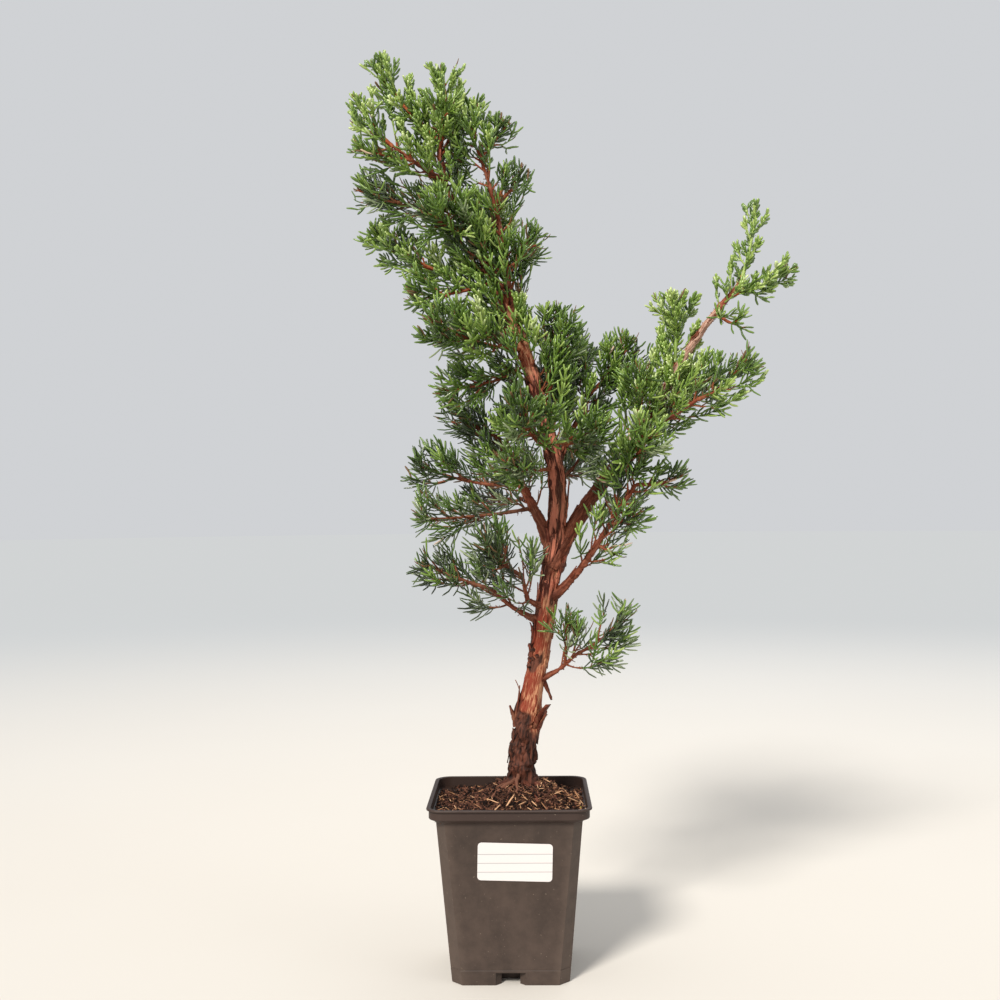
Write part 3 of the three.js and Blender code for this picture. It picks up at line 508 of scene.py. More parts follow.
# %% Relief of the bark
FLUTES = ((0.05, 3, 9), (0.03, 5, -14))
FIBRE = {
    "across": 0.42, "along": 0.042, "layers": 2.6, "layer": 0.5,
    "fine_across": 1.5, "fine_along": 0.09, "fine": 0.16,
}
PLATE = {"across": 0.13, "along": 0.055, "high": 0.9, "cleft": 0.2, "brightest": 0.7}
WOOD_SHARE = 0.95  # of a limb's radius
BARK_LEVEL = 0.35  # the height of the relief that lies on the limb's own skin
GRAIN_SHIFT = 0.7  # of a limb's foot is added to its grain, so that no two limbs look alike


def each(points, measure):
    """One number for every point of an array."""
    rows = np.asarray(points, float).reshape(-1, 3)
    return np.array([measure(row) for row in rows]).reshape(points.shape[:-1])


def noise_at(points):
    return each(points, noise.noise)


def border_gap(point):
    """How far a point lies from the nearest border between two cells."""
    near = noise.voronoi(point)[0]
    return near[1] - near[0]


def bark_height(grain, plated):
    """Height of the bark in mm, and how deep in a furrow each point lies, from 0 to 1."""
    stretch = np.array([FIBRE["across"], FIBRE["across"], FIBRE["along"]])
    bend = np.stack([noise_at(grain * 0.05), noise_at(grain * 0.05 + 9.1), 0 * grain[..., 0]], axis=-1)
    terraces = (noise_at((grain + bend * 2.2) * stretch) * FIBRE["layers"]) % 1.0
    fine_stretch = np.array([FIBRE["fine_across"], FIBRE["fine_across"], FIBRE["fine_along"]])
    fine = FIBRE["fine"] * noise_at(grain * fine_stretch)
    bend = np.stack([noise_at(grain * 0.3 + shift) for shift in (0, 9.1, 4.7)], axis=-1)
    cells = (grain + bend * 2.4) * np.array([PLATE["across"], PLATE["across"], PLATE["along"]])
    plates = smoothstep(each(cells, border_gap), 0, PLATE["cleft"])
    height = lerp(FIBRE["layer"] * terraces**1.6, PLATE["high"] * plates, plated) + fine
    return height, lerp(terraces, plates * PLATE["brightest"], plated)


print("bark strips are", round(1 / FIBRE["across"], 1), "mm wide at the least")

# %% Skins with bark


def bark_skin(limb, sides, step, rough, plated, relief=None, fineness=1.0):
    """The skin of a limb as rings of points, with its grain and terraces."""
    rings = max(int(limb.length / step), 4)
    places = np.linspace(0, 1, rings)
    point, ahead, side, up = limb.at(places)
    turns = np.arange(sides) / sides * math.tau
    radius = np.array([limb.radius(place) for place in places])[:, None]
    along = (places * limb.length)[:, None] + 0 * turns
    if relief:
        radius = radius * relief(places[:, None], turns)
    grain = np.stack([radius * np.cos(turns), radius * np.sin(turns), along], axis=-1)
    grain = grain + limb.points[0] * GRAIN_SHIFT
    height, terraces = bark_height(grain * fineness, plated(places)[:, None])
    depth = rough(places)[:, None]
    out = (radius * WOOD_SHARE + (height - BARK_LEVEL) * depth)[..., None]
    across = side[:, None] * np.cos(turns)[:, None] + up[:, None] * np.sin(turns)[:, None]
    skin = point[:, None] + across * out
    faces = grid_faces(rings, sides)
    last = rings * sides
    cap = [[last - sides + k, last - sides + (k + 1) % sides, last] for k in range(sides)]
    points = np.vstack([skin.reshape(-1, 3), limb.at(1.0)[0] + limb.at(1.0)[1] * radius[-1, 0] * 0.5])
    grain = np.vstack([grain.reshape(-1, 3), grain[-1, :1]])
    terraces = np.append(terraces.ravel(), 0.5)
    return points, np.vstack([faces, cap]), grain, terraces


def add_bark(heap, points, faces, grain, terraces, age, pale=0.0, share=0):
    """Adds a mesh with the notes that the bark's material reads. A single number holds all over it."""
    notes = {"terraces": terraces, "age": age, "pale": pale}
    notes = {name: np.broadcast_to(value, len(points)) for name, value in notes.items()}
    heap.add(points, faces, share, grain=grain, **notes)


print("plates of bark stand", PLATE["high"], "mm high")

# %% [markdown]
# ## Where the bark is old
#
# The dark plates of the foot end in a ragged edge about 5 cm above the soil. A strip of grey-brown bark
# runs on up the left side, and the peeled wood is paler and more tan on the right side. These places
# belong to the trunk, so they are worked out here from height and turn, and kept as a second note, age:
# 0 is peeled wood, 1 is old bark.

# %% The trunk's bark
FOOT_BARK = {"top": 47, "ragged": 11, "rise_left": 12}
LEFT_STRIP = {"bearing": 188, "wide": 44, "from": 80, "to": 135, "fade": 20}
UPPER_BARK = {"from": 112, "to": 142}
KNOT_BAND = {"climb": 89, "bearing": 230, "spread": 0.016}
BARE_SPOT = {"climb": 306, "half": 15}
PALE_SIDE = {"bearing": 335, "wide": 80, "wobble": 60}
KNOBS = {"middle": 0.06, "foot": 0.3, "upper": 0.2}
RIDGES = {"count": 6, "deep": 0.09, "fade": 14, "turned": 0.5}
FOOT_SLIM = 0.12


def round_limb(turn, height):
    """Points on a tube one unit wide, at which the noise of a relief is read."""
    return np.stack([np.cos(turn) + 0 * height, np.sin(turn) + 0 * height, height + 0 * turn], axis=-1)


def trunk_relief(place, turn):
    """How much wider or slimmer than its round measure the trunk is."""
    ridge = RIDGES["deep"] * np.exp(-place * TRUNK["length"] / RIDGES["fade"])
    ridge = ridge * np.cos(RIDGES["count"] * turn + RIDGES["turned"])
    low, high = 1 - smoothstep(place, 0.09, 0.13), smoothstep(place, 0.25, 0.31)
    knobs = KNOBS["middle"] + KNOBS["foot"] * low + KNOBS["upper"] * high
    knobs = noise_at(round_limb(turn, place * 42) * 1.3) * knobs
    flutes = sum(depth * np.sin(count * turn + wind * place) for depth, count, wind in FLUTES)
    return 1 + ridge + knobs + flutes - FOOT_SLIM * (1 - smoothstep(place, 0.05, 0.12))


print("the trunk's flutes are", FLUTES[0][0], "of its radius deep")

# %% Age and colour of the trunk's bark


def beside_trunk(points):
    """How high points stand over the trunk's foot, and how far right and back of its middle."""
    climb = points[:, 2] - TRUNK["foot"][2]
    middle = limbs["trunk"].at(np.clip(climb / TRUNK["length"], 0, 1))[0]
    return climb, points[:, 0] - middle[:, 0], points[:, 1] - middle[:, 1]


def bearing_on_trunk(points):
    climb, to_right, to_back = beside_trunk(points)
    return climb, np.degrees(np.arctan2(to_back, to_right))


def turned_off(turn, place):
    """How many degrees a turn lies off a place's bearing."""
    return np.abs((turn - place["bearing"] + 180) % 360 - 180)


def trunk_pale(points):
    """How much paler and more tan the peeled wood is at points of the trunk, from 0 to 1."""
    climb, turn = bearing_on_trunk(points)
    wobble = noise_at(points * np.array([0.12, 0.12, 0.03])) * PALE_SIDE["wobble"]
    off = turned_off(turn, PALE_SIDE) + wobble
    side = 1 - smoothstep(off, PALE_SIDE["wide"] * 0.45, PALE_SIDE["wide"])
    return np.maximum(side, 1.2 * (np.abs(climb - BARE_SPOT["climb"]) < BARE_SPOT["half"] + 8))


def trunk_age(points):
    """How old the bark is at points of the trunk, from 0 to 1."""
    climb, turn = bearing_on_trunk(points)
    wobble = noise_at(points * 0.09) * FOOT_BARK["ragged"] * 2
    edge = FOOT_BARK["top"] - FOOT_BARK["rise_left"] * np.cos(np.radians(turn)) - wobble
    foot = 1 - smoothstep(climb, edge - 5, edge + 5)
    off = turned_off(turn, LEFT_STRIP) + wobble * 2
    strip = 1 - smoothstep(off, LEFT_STRIP["wide"] * 0.7, LEFT_STRIP["wide"])
    low, high, fade = LEFT_STRIP["from"], LEFT_STRIP["to"], LEFT_STRIP["fade"]
    strip *= smoothstep(climb, low, low + fade)
    strip *= 1 - smoothstep(climb, high - fade, high + fade)
    band = 1 - smoothstep(np.abs(climb - KNOT_BAND["climb"] + wobble), 6, 9)
    band *= 1 - smoothstep(turned_off(turn, KNOT_BAND), 55, 75)
    top = smoothstep(climb + wobble * 2, UPPER_BARK["from"], UPPER_BARK["to"])
    top *= smoothstep(np.abs(climb - BARE_SPOT["climb"] + wobble), BARE_SPOT["half"], BARE_SPOT["half"] + 6)
    return np.maximum.reduce([foot, strip, band, top * 0.85])


def knot_band(place):
    return np.exp(-(((place - KNOT_BAND["climb"] / TRUNK["length"]) / KNOT_BAND["spread"]) ** 2))


def trunk_roughness(place):
    foot = 1.4 * (1 - smoothstep(place, 0.1, 0.14))
    return 0.5 + foot + 0.9 * smoothstep(place, 0.24, 0.3) + 0.9 * knot_band(place)


def trunk_plates(place):
    return 1 - smoothstep(place, 0.1, 0.14) + 0.3 * smoothstep(place, 0.25, 0.31) + 0.8 * knot_band(place)


print("old bark reaches", FOOT_BARK["top"], "mm up the trunk")

# %% [markdown]
# ## Knots
#
# Where old boughs died, the bark has closed over them in dark lumps. Each one is a short thick limb of
# its own that stands a little out of the trunk. Roots and stubs get the same bark in the same way.

# %% The trunk's skin, knots, roots and stubs
KNOTS = [  # place, bearing, how far out, climb, length, radius
    (0.225, 200, 5.2, 20, 4.5, 2.6), (0.205, 192, 5.0, -10, 4.0, 2.2), (0.188, 215, 4.6, 5, 4.2, 2.9),
    (0.181, 250, 4.8, -5, 3.2, 2.4), (0.262, 196, 5.5, 35, 4.0, 2.4), (0.33, 175, 4.5, 20, 4.0, 2.2),
    (0.385, 235, 4.4, 10, 3.2, 1.8), (0.41, 300, 4.2, 15, 3.0, 1.6), (0.3, 250, 5.4, 20, 3.6, 2.2),
    (0.1, 178, 6.6, 30, 4.5, 3.2), (0.05, 182, 7.2, 10, 4.2, 3.6), (0.028, 240, 7.4, 0, 3.6, 3.2),
    (0.06, 262, 7.0, 5, 3.0, 3.4), (0.35, 290, 4.6, 40, 3.6, 1.9), (0.435, 215, 4.0, 30, 3.4, 1.7),
    (0.2, 226, 7.0, 10, 3.6, 2.6), (0.178, 214, 6.8, -15, 3.4, 2.4), (0.192, 258, 6.6, 5, 2.8, 2.2),
    (0.206, 196, 7.2, 15, 3.2, 2.4), (0.186, 238, 6.8, 30, 3.0, 2.0), (0.24, 190, 6.4, 0, 3.0, 2.0),
]
KNOT = {"sunk": 1.5, "tip": 0.45, "step": 2}
TRUNK_SIDES, TRUNK_STEP, SMALL_LIMB_STEP = 84, 0.85, 0.7

bark = Heap()
skin = bark_skin(limbs["trunk"], TRUNK_SIDES, TRUNK_STEP, trunk_roughness, trunk_plates, trunk_relief)
add_bark(bark, *skin, trunk_age(skin[0]), trunk_pale(skin[0]))
knot_limbs = []
for at, bearing, out, climb, length, radius in KNOTS:
    foot = limbs["trunk"].at(at)[0] + heading(bearing, 0) * (out - KNOT["sunk"])
    radius = tapered(radius, radius * KNOT["tip"])
    knot_limbs.append(Limb(foot, [heading(bearing, climb)], length, KNOT["step"], radius))
for group, sides, age in ((stub_limbs, 22, 0.7), (root_limbs, 20, 0.9), (knot_limbs, 20, 0.95)):
    for limb in group:
        skin = bark_skin(limb, sides, SMALL_LIMB_STEP, tapered(1.0, 1.0), tapered(0.5, 0.5))
        add_bark(bark, *skin, age)
print("the trunk carries", len(root_limbs), "roots,", len(stub_limbs), "stubs and", len(knot_limbs), "knots")

# %% [markdown]
# ## The bark's material
#
# Three colours meet here. Peeled wood is brick red with tan streaks, old bark is dark brown, redder in
# the crown, and the raised edges of strips are paler, partly where they lift and partly as a painted
# highlight. The foot of each step and the clefts between plates are darkened as painted shade. The
# streaks come from a noise that reads the grain note, so they follow every bend of the limb. Fine fibres
# go into a bump, because they are thinner than any face.

# %% The bark's material


def bark_finish(name, wood, streak, old, old_streak, edge, high_old=None, high_streak=None):
    finish = Finish(name, Roughness=0.7, Specular_IOR_Level=0.2)
    grain = finish.attribute("grain", "Vector")
    stretched = finish.node("Mapping", {}, "Vector", Vector=grain, Scale=(1.0, 1.0, 0.07))
    fibres = finish.clouds(stretched, 0.6, 4.0, 0.6)
    patches = finish.clouds(grain, 14.0, 2.0)
    terraces, age = finish.attribute("terraces"), finish.attribute("age")
    streaks = (fibres * 0.8 + patches * 0.5).between(0.53, 0.8)
    pale = finish.attribute("pale")
    tan = (pale * 0.35 + streaks * 0.75).between(0.3, 1.1)
    peeled = finish.mix(tan, colour(wood), colour(streak))
    bleached = finish.mix(fibres.between(0.35, 0.6), colour("7f4c3a"), colour("bf9c88"))
    peeled = finish.mix((pale - 1.3).between(0.0, 1.4), peeled, bleached)
    facets = (finish.clouds(stretched, 2.2, 2.0) * 0.8 + fibres * 0.3).between(0.4, 0.72)
    aged = finish.mix(facets, colour(old), colour(old_streak))
    if high_old:
        high = finish.along("Z").between(0.236, 0.262)
        flakes = (facets + fibres * 0.3).between(0.4, 1.02)
        aged = finish.mix(high, aged, finish.mix(flakes, colour(high_old), colour(high_streak)))
    both = finish.mix(age, peeled, aged)
    # The raised edges of strips turn paler: partly the pale edge of a lifting strip, partly a painted
    # highlight.
    lifted_edge_highlight = terraces.between(0.75, 0.98) * fibres.between(0.4, 0.65) * 0.5
    lit = finish.mix(lifted_edge_highlight, both, colour(edge))
    # Painted shade: the foot of each step and the clefts between plates darken towards 1e100a.
    finish.set(Base_Color=finish.mix((1 - terraces.between(0.0, 0.16)) * 0.64, lit, colour("1e100a")))
    finish.bump(fibres, 0.55, 0.0004)
    return finish


# The fifth colour of each bark is its raised edges: partly lifting strips, partly a painted highlight.
trunk_bark = bark_finish("peeling_bark", "7d3522", "c28c68", "1c0f0a", "64392a", "ad8670", "250a05", "b97058")
bough_bark = bark_finish("bough_bark", "7d3a24", "bd8064", "2c130b", "7d4a36", "a88a76")
print("bark finishes:", trunk_bark.material.name, bough_bark.material.name)

# %% [markdown]
# ## Loose strips
#
# Strips of bark hang off the limbs by one end. Each is a thin curved blade, rooted in the limb and lifted
# towards its free end. The large ones stand where the photograph shows them, and small ones are dealt
# out by chance all over the trunk and the stouter boughs.

# %% Loose strips
STRIPS = {"trunk": 70, "right_limb": 40, "left_limb": 16, "right_branch": 10, "inner_right_branch": 8}
PLACED_STRIPS = [  # limb, place, turn round it, width, length, how far the free end stands off
    ("trunk", 0.086, 50, 9.5, 19, 8.0), ("trunk", 0.075, 66, 8.0, 16, 5.0),
    ("trunk", 0.085, 268, 5.0, 27, 2.2), ("trunk", 0.12, 272, 1.0, 14, 6.0),
    ("trunk", 0.385, 72, 4.6, 30, 3.2), ("trunk", 0.3, 66, 6.5, 20, 3.4),
    ("trunk", 0.02, 215, 6.0, 26, 2.0), ("trunk", 0.06, 100, 5.5, 22, 3.0),
    ("trunk", 0.345, 300, 5.0, 16, 1.8), ("trunk", 0.18, 300, 4.0, 12, 2.4),
    ("trunk", 0.215, 285, 3.2, 11, 2.6), ("right_limb", 0.04, 40, 5.0, 16, 2.0),
]
STRIP_AGE, BOUGH_STRIP_AGE = 0.6, 0.55
HANGING = 0.35  # the share of small strips that hang down


def strip_skin(limb, place, turn, width, length, stand, hang):
    """A strip of bark that is held at one end and curls away from the limb at the other."""
    share = np.linspace(0, 1, 7)
    places = np.clip(place + share * length / limb.length * (-1 if hang else 1), 0, 1)
    point, _, side, up = limb.at(places)
    radius = np.array([limb.radius(at) for at in places]) * 0.97 + 0.2 + stand * share**2
    half = np.degrees(width / 2 / radius) * (0.55 + 0.45 * np.sin(share * 2.6 + 0.4))
    columns = []
    for across, depth in ((-1, 0), (0, 0.25), (1, 0), (1, -0.45), (0, -0.35), (-1, -0.45)):
        turned = np.radians(turn + across * half + 9 * np.sin(share * 3))[:, None]
        columns.append(point + (side * np.cos(turned) + up * np.sin(turned)) * (radius + depth)[:, None])
    points = np.stack(columns, axis=1).reshape(-1, 3)
    sides = len(columns)
    last = len(points) - sides
    caps = [[0, k + 1, k] for k in range(1, 5)] + [[last, last + k, last + k + 1] for k in range(1, 5)]
    along = np.stack([0 * share + width, 0 * share + turn, share * length], axis=-1)
    grain = np.repeat(along, sides, axis=0) + points * 0.4
    return points, np.vstack([grid_faces(len(share), sides), caps]), grain


def add_strips(heap, name, count, age_at):
    dice = np.random.default_rng(len(name))
    limb = limbs[name]
    rows = [row[1:] for row in PLACED_STRIPS if row[0] == name]
    placed = len(rows)
    for place, turn in zip(dice.uniform(0.01, 0.95, count), dice.uniform(0, 360, count)):
        size = limb.radius(place) / limb.radius(0.0)
        wide, long = dice.uniform(1.2, 3.2) * size, dice.uniform(7, 20) * size
        rows.append((place, turn, wide, long, dice.uniform(0.2, 1.2)))
    for k, row in enumerate(rows):
        points, faces, grain = strip_skin(limb, *row, hang=k >= placed and dice.random() < HANGING)
        add_bark(heap, points, faces, grain, STRIP_AGE, age_at(points) if k >= placed else STRIP_AGE)


add_strips(bark, "trunk", STRIPS["trunk"], trunk_age)
bark.piece("trunk_bark", [trunk_bark], "bark", ["trunk"])

# %% [markdown]
# ## Boughs
#
# Each bough starts inside its parent and swells a little where it leaves, as a grafted pipe would not.
# Towards its tip the bark is younger, smoother and more orange. The boughs share one piece.

# %% Boughs
COLLAR = {"swell": 0.5, "reach": 8.0}
SLIM = {  # the share of their solids' width that young boughs show under their leaves
    "upper_right_branch": 0.72, "upper_left_branch": 0.72, "inner_right_branch": 0.85,
    "side_branch": 0.85, "low_right_branch": 0.82, "low_left_branch": 0.92,
}
BLEACHED = {"limb": "right_limb", "at": 0.74, "strength": 4.0}  # a stretch of bare and pale wood
LUMPS = {"apart": 6, "deep": 0.22}
BOUGH_SKIN = {"sides_per_mm": 7, "least_sides": 12, "step": 0.9, "fineness": 1.7}


def collared(limb, slim, parent_radius):
    """The radius of a bough that swells where it leaves its parent."""
    root, tip = limb.radius(0.0), limb.radius(1.0)

    def radius(place):
        past = max(place * limb.length - parent_radius, 0)
        return lerp(root, tip, place) * slim * (1 + COLLAR["swell"] * math.exp(-past / COLLAR["reach"]))

    return radius


def knobbly(length):
    """The relief of a bough: low lumps all round it."""

    def relief(place, turn):
        spots = round_limb(turn, place * length / LUMPS["apart"])
        return 1 + LUMPS["deep"] * noise_at(spots * 1.1 + length)

    return relief


bough_heap = Heap()
for name, (parent, at, _, _, _, headings) in BOUGHS.items():
    limb = limbs[name]
    radius = collared(limb, SLIM.get(name, 1.0), limbs[parent].radius(at))
    ways = [heading(*row) for row in headings]
    shown = Limb(limb.points[0], ways, limb.length, STEPS["bough"], radius)
    sides = max(int(limb.radius(0.0) * BOUGH_SKIN["sides_per_mm"]), BOUGH_SKIN["least_sides"])
    ruggedness = tapered(1.5, 0.8), tapered(0.7, 0.35), knobbly(limb.length)
    skin = bark_skin(shown, sides, BOUGH_SKIN["step"], *ruggedness, BOUGH_SKIN["fineness"])
    along = (skin[2][:, 2] - limb.points[0][2] * GRAIN_SHIFT) / limb.length
    bare_there = 1 - smoothstep(np.abs(along - BLEACHED["at"]), 0.1, 0.22)
    pale = BLEACHED["strength"] * (name == BLEACHED["limb"]) * bare_there
    age = np.clip(0.8 - along * 0.6, 0, 1) * (1 - np.minimum(pale, 1))
    add_bark(bough_heap, *skin, age, pale)
print("boughs with bark:", len(BOUGHS))

# %% [markdown]
# ## Spurs
#
# A juniper sheds its old needles and twigs one by one, and each leaves a short stiff spur. They are what
# makes a thin bough look rough against the sky. A spur is a three-sided spike, set at random.

# %% Spurs and strips of the boughs
BOUGH_SPURS = (1.5, 2.6, 0.45)  # mm from spur to spur, greatest length, thickness
SPUR_POINTS = 6


def spurs(limb, gap, long, thick):
    """Short spurs all over a limb: points, faces, and the place of each point along the limb."""
    dice = np.random.default_rng(int(limb.length * 100))
    count = max(int(limb.length / gap), 1)
    places = dice.uniform(0.0, 1, count)
    point, ahead, side, up = limb.at(places)
    way = outward(ahead, side, up, dice.uniform(0, 360, count), dice.uniform(40, 75, count))
    radius = np.array([limb.radius(place) for place in places])[:, None] * 0.8
    root = point + way * radius * 0.6
    tip = point + way * (radius + dice.uniform(0.4, 1.0, (count, 1)) * long)
    across = squared(side, way) * thick
    turned = np.cross(way, across)
    corners = [root + across, root - across * 0.5 + turned * 0.87, root - across * 0.5 - turned * 0.87]
    ends = [tip + (corner - root) * 0.5 for corner in corners]
    points = np.stack(corners + ends, axis=1).reshape(-1, 3)
    pattern = np.vstack([grid_faces(2, 3), [[3, 4, 5]]])
    return points, repeated(pattern, count, SPUR_POINTS), np.repeat(places, SPUR_POINTS)


for name in BOUGHS:
    points, faces, along = spurs(limbs[name], *BOUGH_SPURS)
    add_bark(bough_heap, points, faces, points * 0.6, 0.5, 0.8 - along * 0.6)
for name in list(STRIPS)[1:]:
    add_strips(bough_heap, name, STRIPS[name], lambda points: BOUGH_STRIP_AGE)
bough_heap.piece("bough_bark", [bough_bark], "bark", list(BOUGHS))

# %% [markdown]
# ## Masses of foliage
#
# A mass starts from a stem that leaves a limb, and its row says how far it reaches, how far its foliage
# spreads, what share of the stem is bare and how fresh the green is. The shoots follow the solid model's
# own rule with the same chance numbers, so they come out in the same places. Then the rule goes on with
# what is too fine for a solid: twigs along each shoot, and needles along each twig.

# %% The rows of the masses
MASSES = {  # place on the limb, bearing, climb, reach, spread, bare share of the stem, freshness
    "trunk": {
        "top_left": (0.98, 186, 50, 75, 21, 0.12, 0.85),
        "top_middle": (1, 32, 86, 47, 25, 0.05, 0.95),
        "top_front": (0.97, 282, 41, 44, 24, 0.15, 0.75),
        "top_back": (0.96, 72, 49, 68, 25, 0.15, 0.7),
        "upper_left_dark": (0.88, 177, 12, 75, 22, 0.2, 0.3),
        "upper_inner": (0.84, 230, 10, 50, 25, 0.2, 0.4),
        "upper_back": (0.82, 71, 40, 63, 25, 0.2, 0.5),
        "left_strand": (0.74, 170, 26, 108, 22, 0.3, 0.7),
        "left_strand_low": (0.76, 193, -11, 65, 25, 0.2, 0.65),
        "mid_left_front": (0.65, 218, 11, 86, 25, 0.2, 0.5),
        "mid_left": (0.63, 200, -18, 71, 25, 0.2, 0.45),
        "mid_left_back": (0.69, 144, -4, 71, 25, 0.2, 0.4),
        "crown_front": (0.5, 256, 15, 93, 28, 0.3, 0.45),
        "crown_front_low": (0.47, 240, 2, 75, 24, 0.3, 0.45),
        "crown_middle": (0.51, 301, 3, 67, 25, 0.25, 0.5),
        "crown_top": (0.56, 3, 78, 75, 24, 0.25, 0.5),
        "crown_back": (0.58, 65, 27, 94, 28, 0.25, 0.4),
        "crown_back_low": (0.45, 69, 18, 75, 25, 0.25, 0.3),
    },
    "right_limb": {
        "crown_front_right": (0.34, 289, 18, 79, 25, 0.3, 0.55),
        "inner_right_low": (0.3, 73, -45, 39, 18, 0.2, 0.25),
        "right_inner": (0.48, 267, 55, 56, 22, 0.2, 0.55),
        "right_back": (0.54, 52, 28, 61, 24, 0.15, 0.5),
        "right_top": (0.68, 57, 86, 60, 22, 0.15, 0.95),
        "right_tip_low": (0.89, 313, -26, 32, 16, 0.1, 0.6),
        "right_tip_out": (0.96, 2, 23, 52, 16, 0.1, 0.85),
        "right_tip_up": (1, 353, 79, 60, 13, 0.2, 1),
    },
    "left_limb": {
        "low_left_mid": (0.36, 190, -5, 86, 25, 0.25, 0.15),
        "low_left_back": (0.46, 132, -2, 64, 24, 0.2, 0.2),
        "low_left_upper": (0.56, 176, 12, 83, 22, 0.3, 0.35),
        "left_limb_tip": (1, 176, 31, 47, 25, 0.05, 0.35),
    },
    "low_left_branch": {"low_left_tip": (1, 186, 21, 57, 22, 0.15, 0.15)},
    "low_left_twig": {"low_left_front": (1, 230, 35, 55, 24, 0.15, 0.2)},
    "right_branch": {
        "right_branch_low": (0.53, 334, -25, 25, 16, 0.2, 0.35),
        "right_branch_side": (0.68, 325, 21, 32, 18, 0.2, 0.4),
        "right_branch_tip": (1, 354, 10, 39, 16, 0.15, 0.45),
    },
    "low_right_branch": {
        "low_right_inner": (0.69, 272, 70, 44, 18, 0.2, 0.35),
        "low_right_tip": (1, 352, 40, 53, 24, 0.1, 0.35),
    },
    "upper_right_branch": {
        "upper_right_low": (0.26, 340, 45, 39, 25, 0.15, 0.5),
        "upper_right_mid": (0.6, 7, 53, 36, 21, 0.15, 0.55),
        "upper_right_side": (0.87, 346, 48, 34, 21, 0.1, 0.7),
        "upper_right_tip": (1, 126, 85, 29, 18, 0.05, 0.8),
    },
    "upper_left_branch": {
        "left_tip_low": (0.63, 194, 11, 43, 21, 0.2, 0.6),
        "left_tip": (1, 181, 51, 46, 21, 0.1, 0.9),
    },
    "inner_right_branch": {"crown_top_right": (1, 349, 50, 51, 25, 0.05, 0.5)},
    "side_branch": {"right_side": (1, 355, 36, 52, 25, 0.05, 0.55)},
}
print("rows for", sum(len(group) for group in MASSES.values()), "masses")

# %% Masses and their stems
WIDENED = {  # masses whose finest sprays reach a little past their solids, to meet their neighbours
    "low_left_mid": 1.22, "low_left_tip": 1.18, "low_left_front": 1.15, "low_left_upper": 1.15,
    "right_top": 1.4,
}
OPEN = {  # how much wider than usual twigs stand apart, by mass or by the limb that carries it
    "low_left_branch": 1.5, "low_left_twig": 1.45, "left_limb": 1.3, "low_left_mid": 1.15,
    "right_branch": 1.8, "low_right_branch": 2.5, "crown_top": 1.15, "inner_right_branch": 1.15,
    "right_tip_up": 1.1, "right_tip_out": 1.15, "right_tip_low": 1.3, "side_branch": 1.4,
    "right_inner": 1.15, "upper_right_branch": 1.55, "top_left": 1.4, "top_middle": 1.4,
    "top_front": 1.4, "top_back": 1.4, "upper_left_branch": 1.15,
}
STEM = {"full_spread": 25, "needles": 19, "held": 0.45, "sway": 12, "step": 12, "root": 3.4, "tip": 1.6}


def set_for(mass, table, usual):
    """A mass's own value in a table, or its limb's, or the usual one."""
    return table.get(mass.name, table.get(mass.on, usual))


class Mass:
    """One mass of foliage: its row, its stem and, once grown, its shoots."""

    def __init__(self, name, on, index, row):
        self.name, self.on, self.index = name, on, index
        at, bearing, climb, reach, spread, self.bare, self.fresh = row
        self.scale = min(spread / STEM["full_spread"], 1)
        self.spread = spread * WIDENED.get(name, 1)
        self.open = set_for(self, OPEN, 1)
        length = reach - STEM["needles"] * self.scale * STEM["held"]
        ways = [heading(bearing, climb + sway) for sway in (-STEM["sway"], STEM["sway"])]
        self.stem = Limb(limbs[on].at(at)[0], ways, length, STEM["step"], self.stem_radius)
        self.shoots = []

    def stem_radius(self, place):
        return STEM["tip"] if place < self.bare else lerp(STEM["root"], STEM["tip"], place)


rows = [(name, on, row) for on, group in MASSES.items() for name, row in group.items()]
masses = [Mass(name, on, index, row) for index, (name, on, row) in enumerate(rows)]
index_of = {mass.name: mass.index for mass in masses}
print(len(masses), "masses of foliage")

# %% [markdown]
# ## Room for each mass
#
# Neighbouring masses share the air between them. A point belongs to the mass whose stem is nearest,
# counted in that mass's own spread, and it must also lie within that spread. The shoots also keep clear
# of everything that stands there already. Both tests work on whole arrays of straight stretches.

# %% Straight stretches of stem and wood
COVERED = {  # stretches of limb that a mass also covers, and how far its sprays stand out there
    "mid_left_front": ("trunk", 0.58, 0.64, 12), "left_strand": ("trunk", 0.64, 0.79, 18),
    "upper_inner": ("trunk", 0.79, 0.9, 12), "low_left_mid": ("left_limb", 0.4, 1.0, 19),
    "low_left_tip": ("low_left_branch", 0.5, 1.0, 19), "low_left_front": ("low_left_twig", 0.4, 1.0, 19),
    "right_branch_low": ("right_branch", 0.3, 0.8, 15), "right_tip_out": ("right_limb", 0.9, 1.0, 12),
}
leafy = []
for mass in masses:
    leafy += [(np.array(row), mass.index, mass.spread) for row in mass.stem.stretches(mass.bare)]
for name, (limb, first, last, cover) in COVERED.items():
    stretches = limbs[limb].stretches()
    for k, stretch in enumerate(stretches):
        if first <= (k + 0.5) / len(stretches) < last:
            leafy.append((np.array(stretch), index_of[name], cover))
wood = [stretch for limb in limbs.values() for stretch in limb.stretches()]
wood = np.array(wood + [stretch for limb in root_limbs + stub_limbs for stretch in limb.stretches()])
print(len(leafy), "leafy stretches and", len(wood), "of wood")

# %% Room for each mass
POINTED = {"from": 0.55, "to": 1.2, "share": 0.6}
TRIMMED = {  # masses that fill only a share of their room
    "upper_right_low": 0.8, "upper_right_mid": 0.8, "upper_right_side": 0.8, "upper_back": 0.85,
    "mid_left": 0.9, "low_left_front": 0.85, "crown_front_low": 0.85, "right_inner": 0.92,
    "right_side": 0.9, "left_tip": 0.85,
}
GAP = {"low": 266, "high": 308, "half": 7.5}  # where the trunk shows through the front of the crown
stem_feet = np.array([mass.stem.points[0] for mass in masses])
stem_ends = np.array([mass.stem.points[-1] for mass in masses])
stem_ways = np.array([mass.stem.directions[-1] for mass in masses])
scales = np.array([mass.scale for mass in masses])
trims = np.array([TRIMMED.get(mass.name, 1.0) for mass in masses])


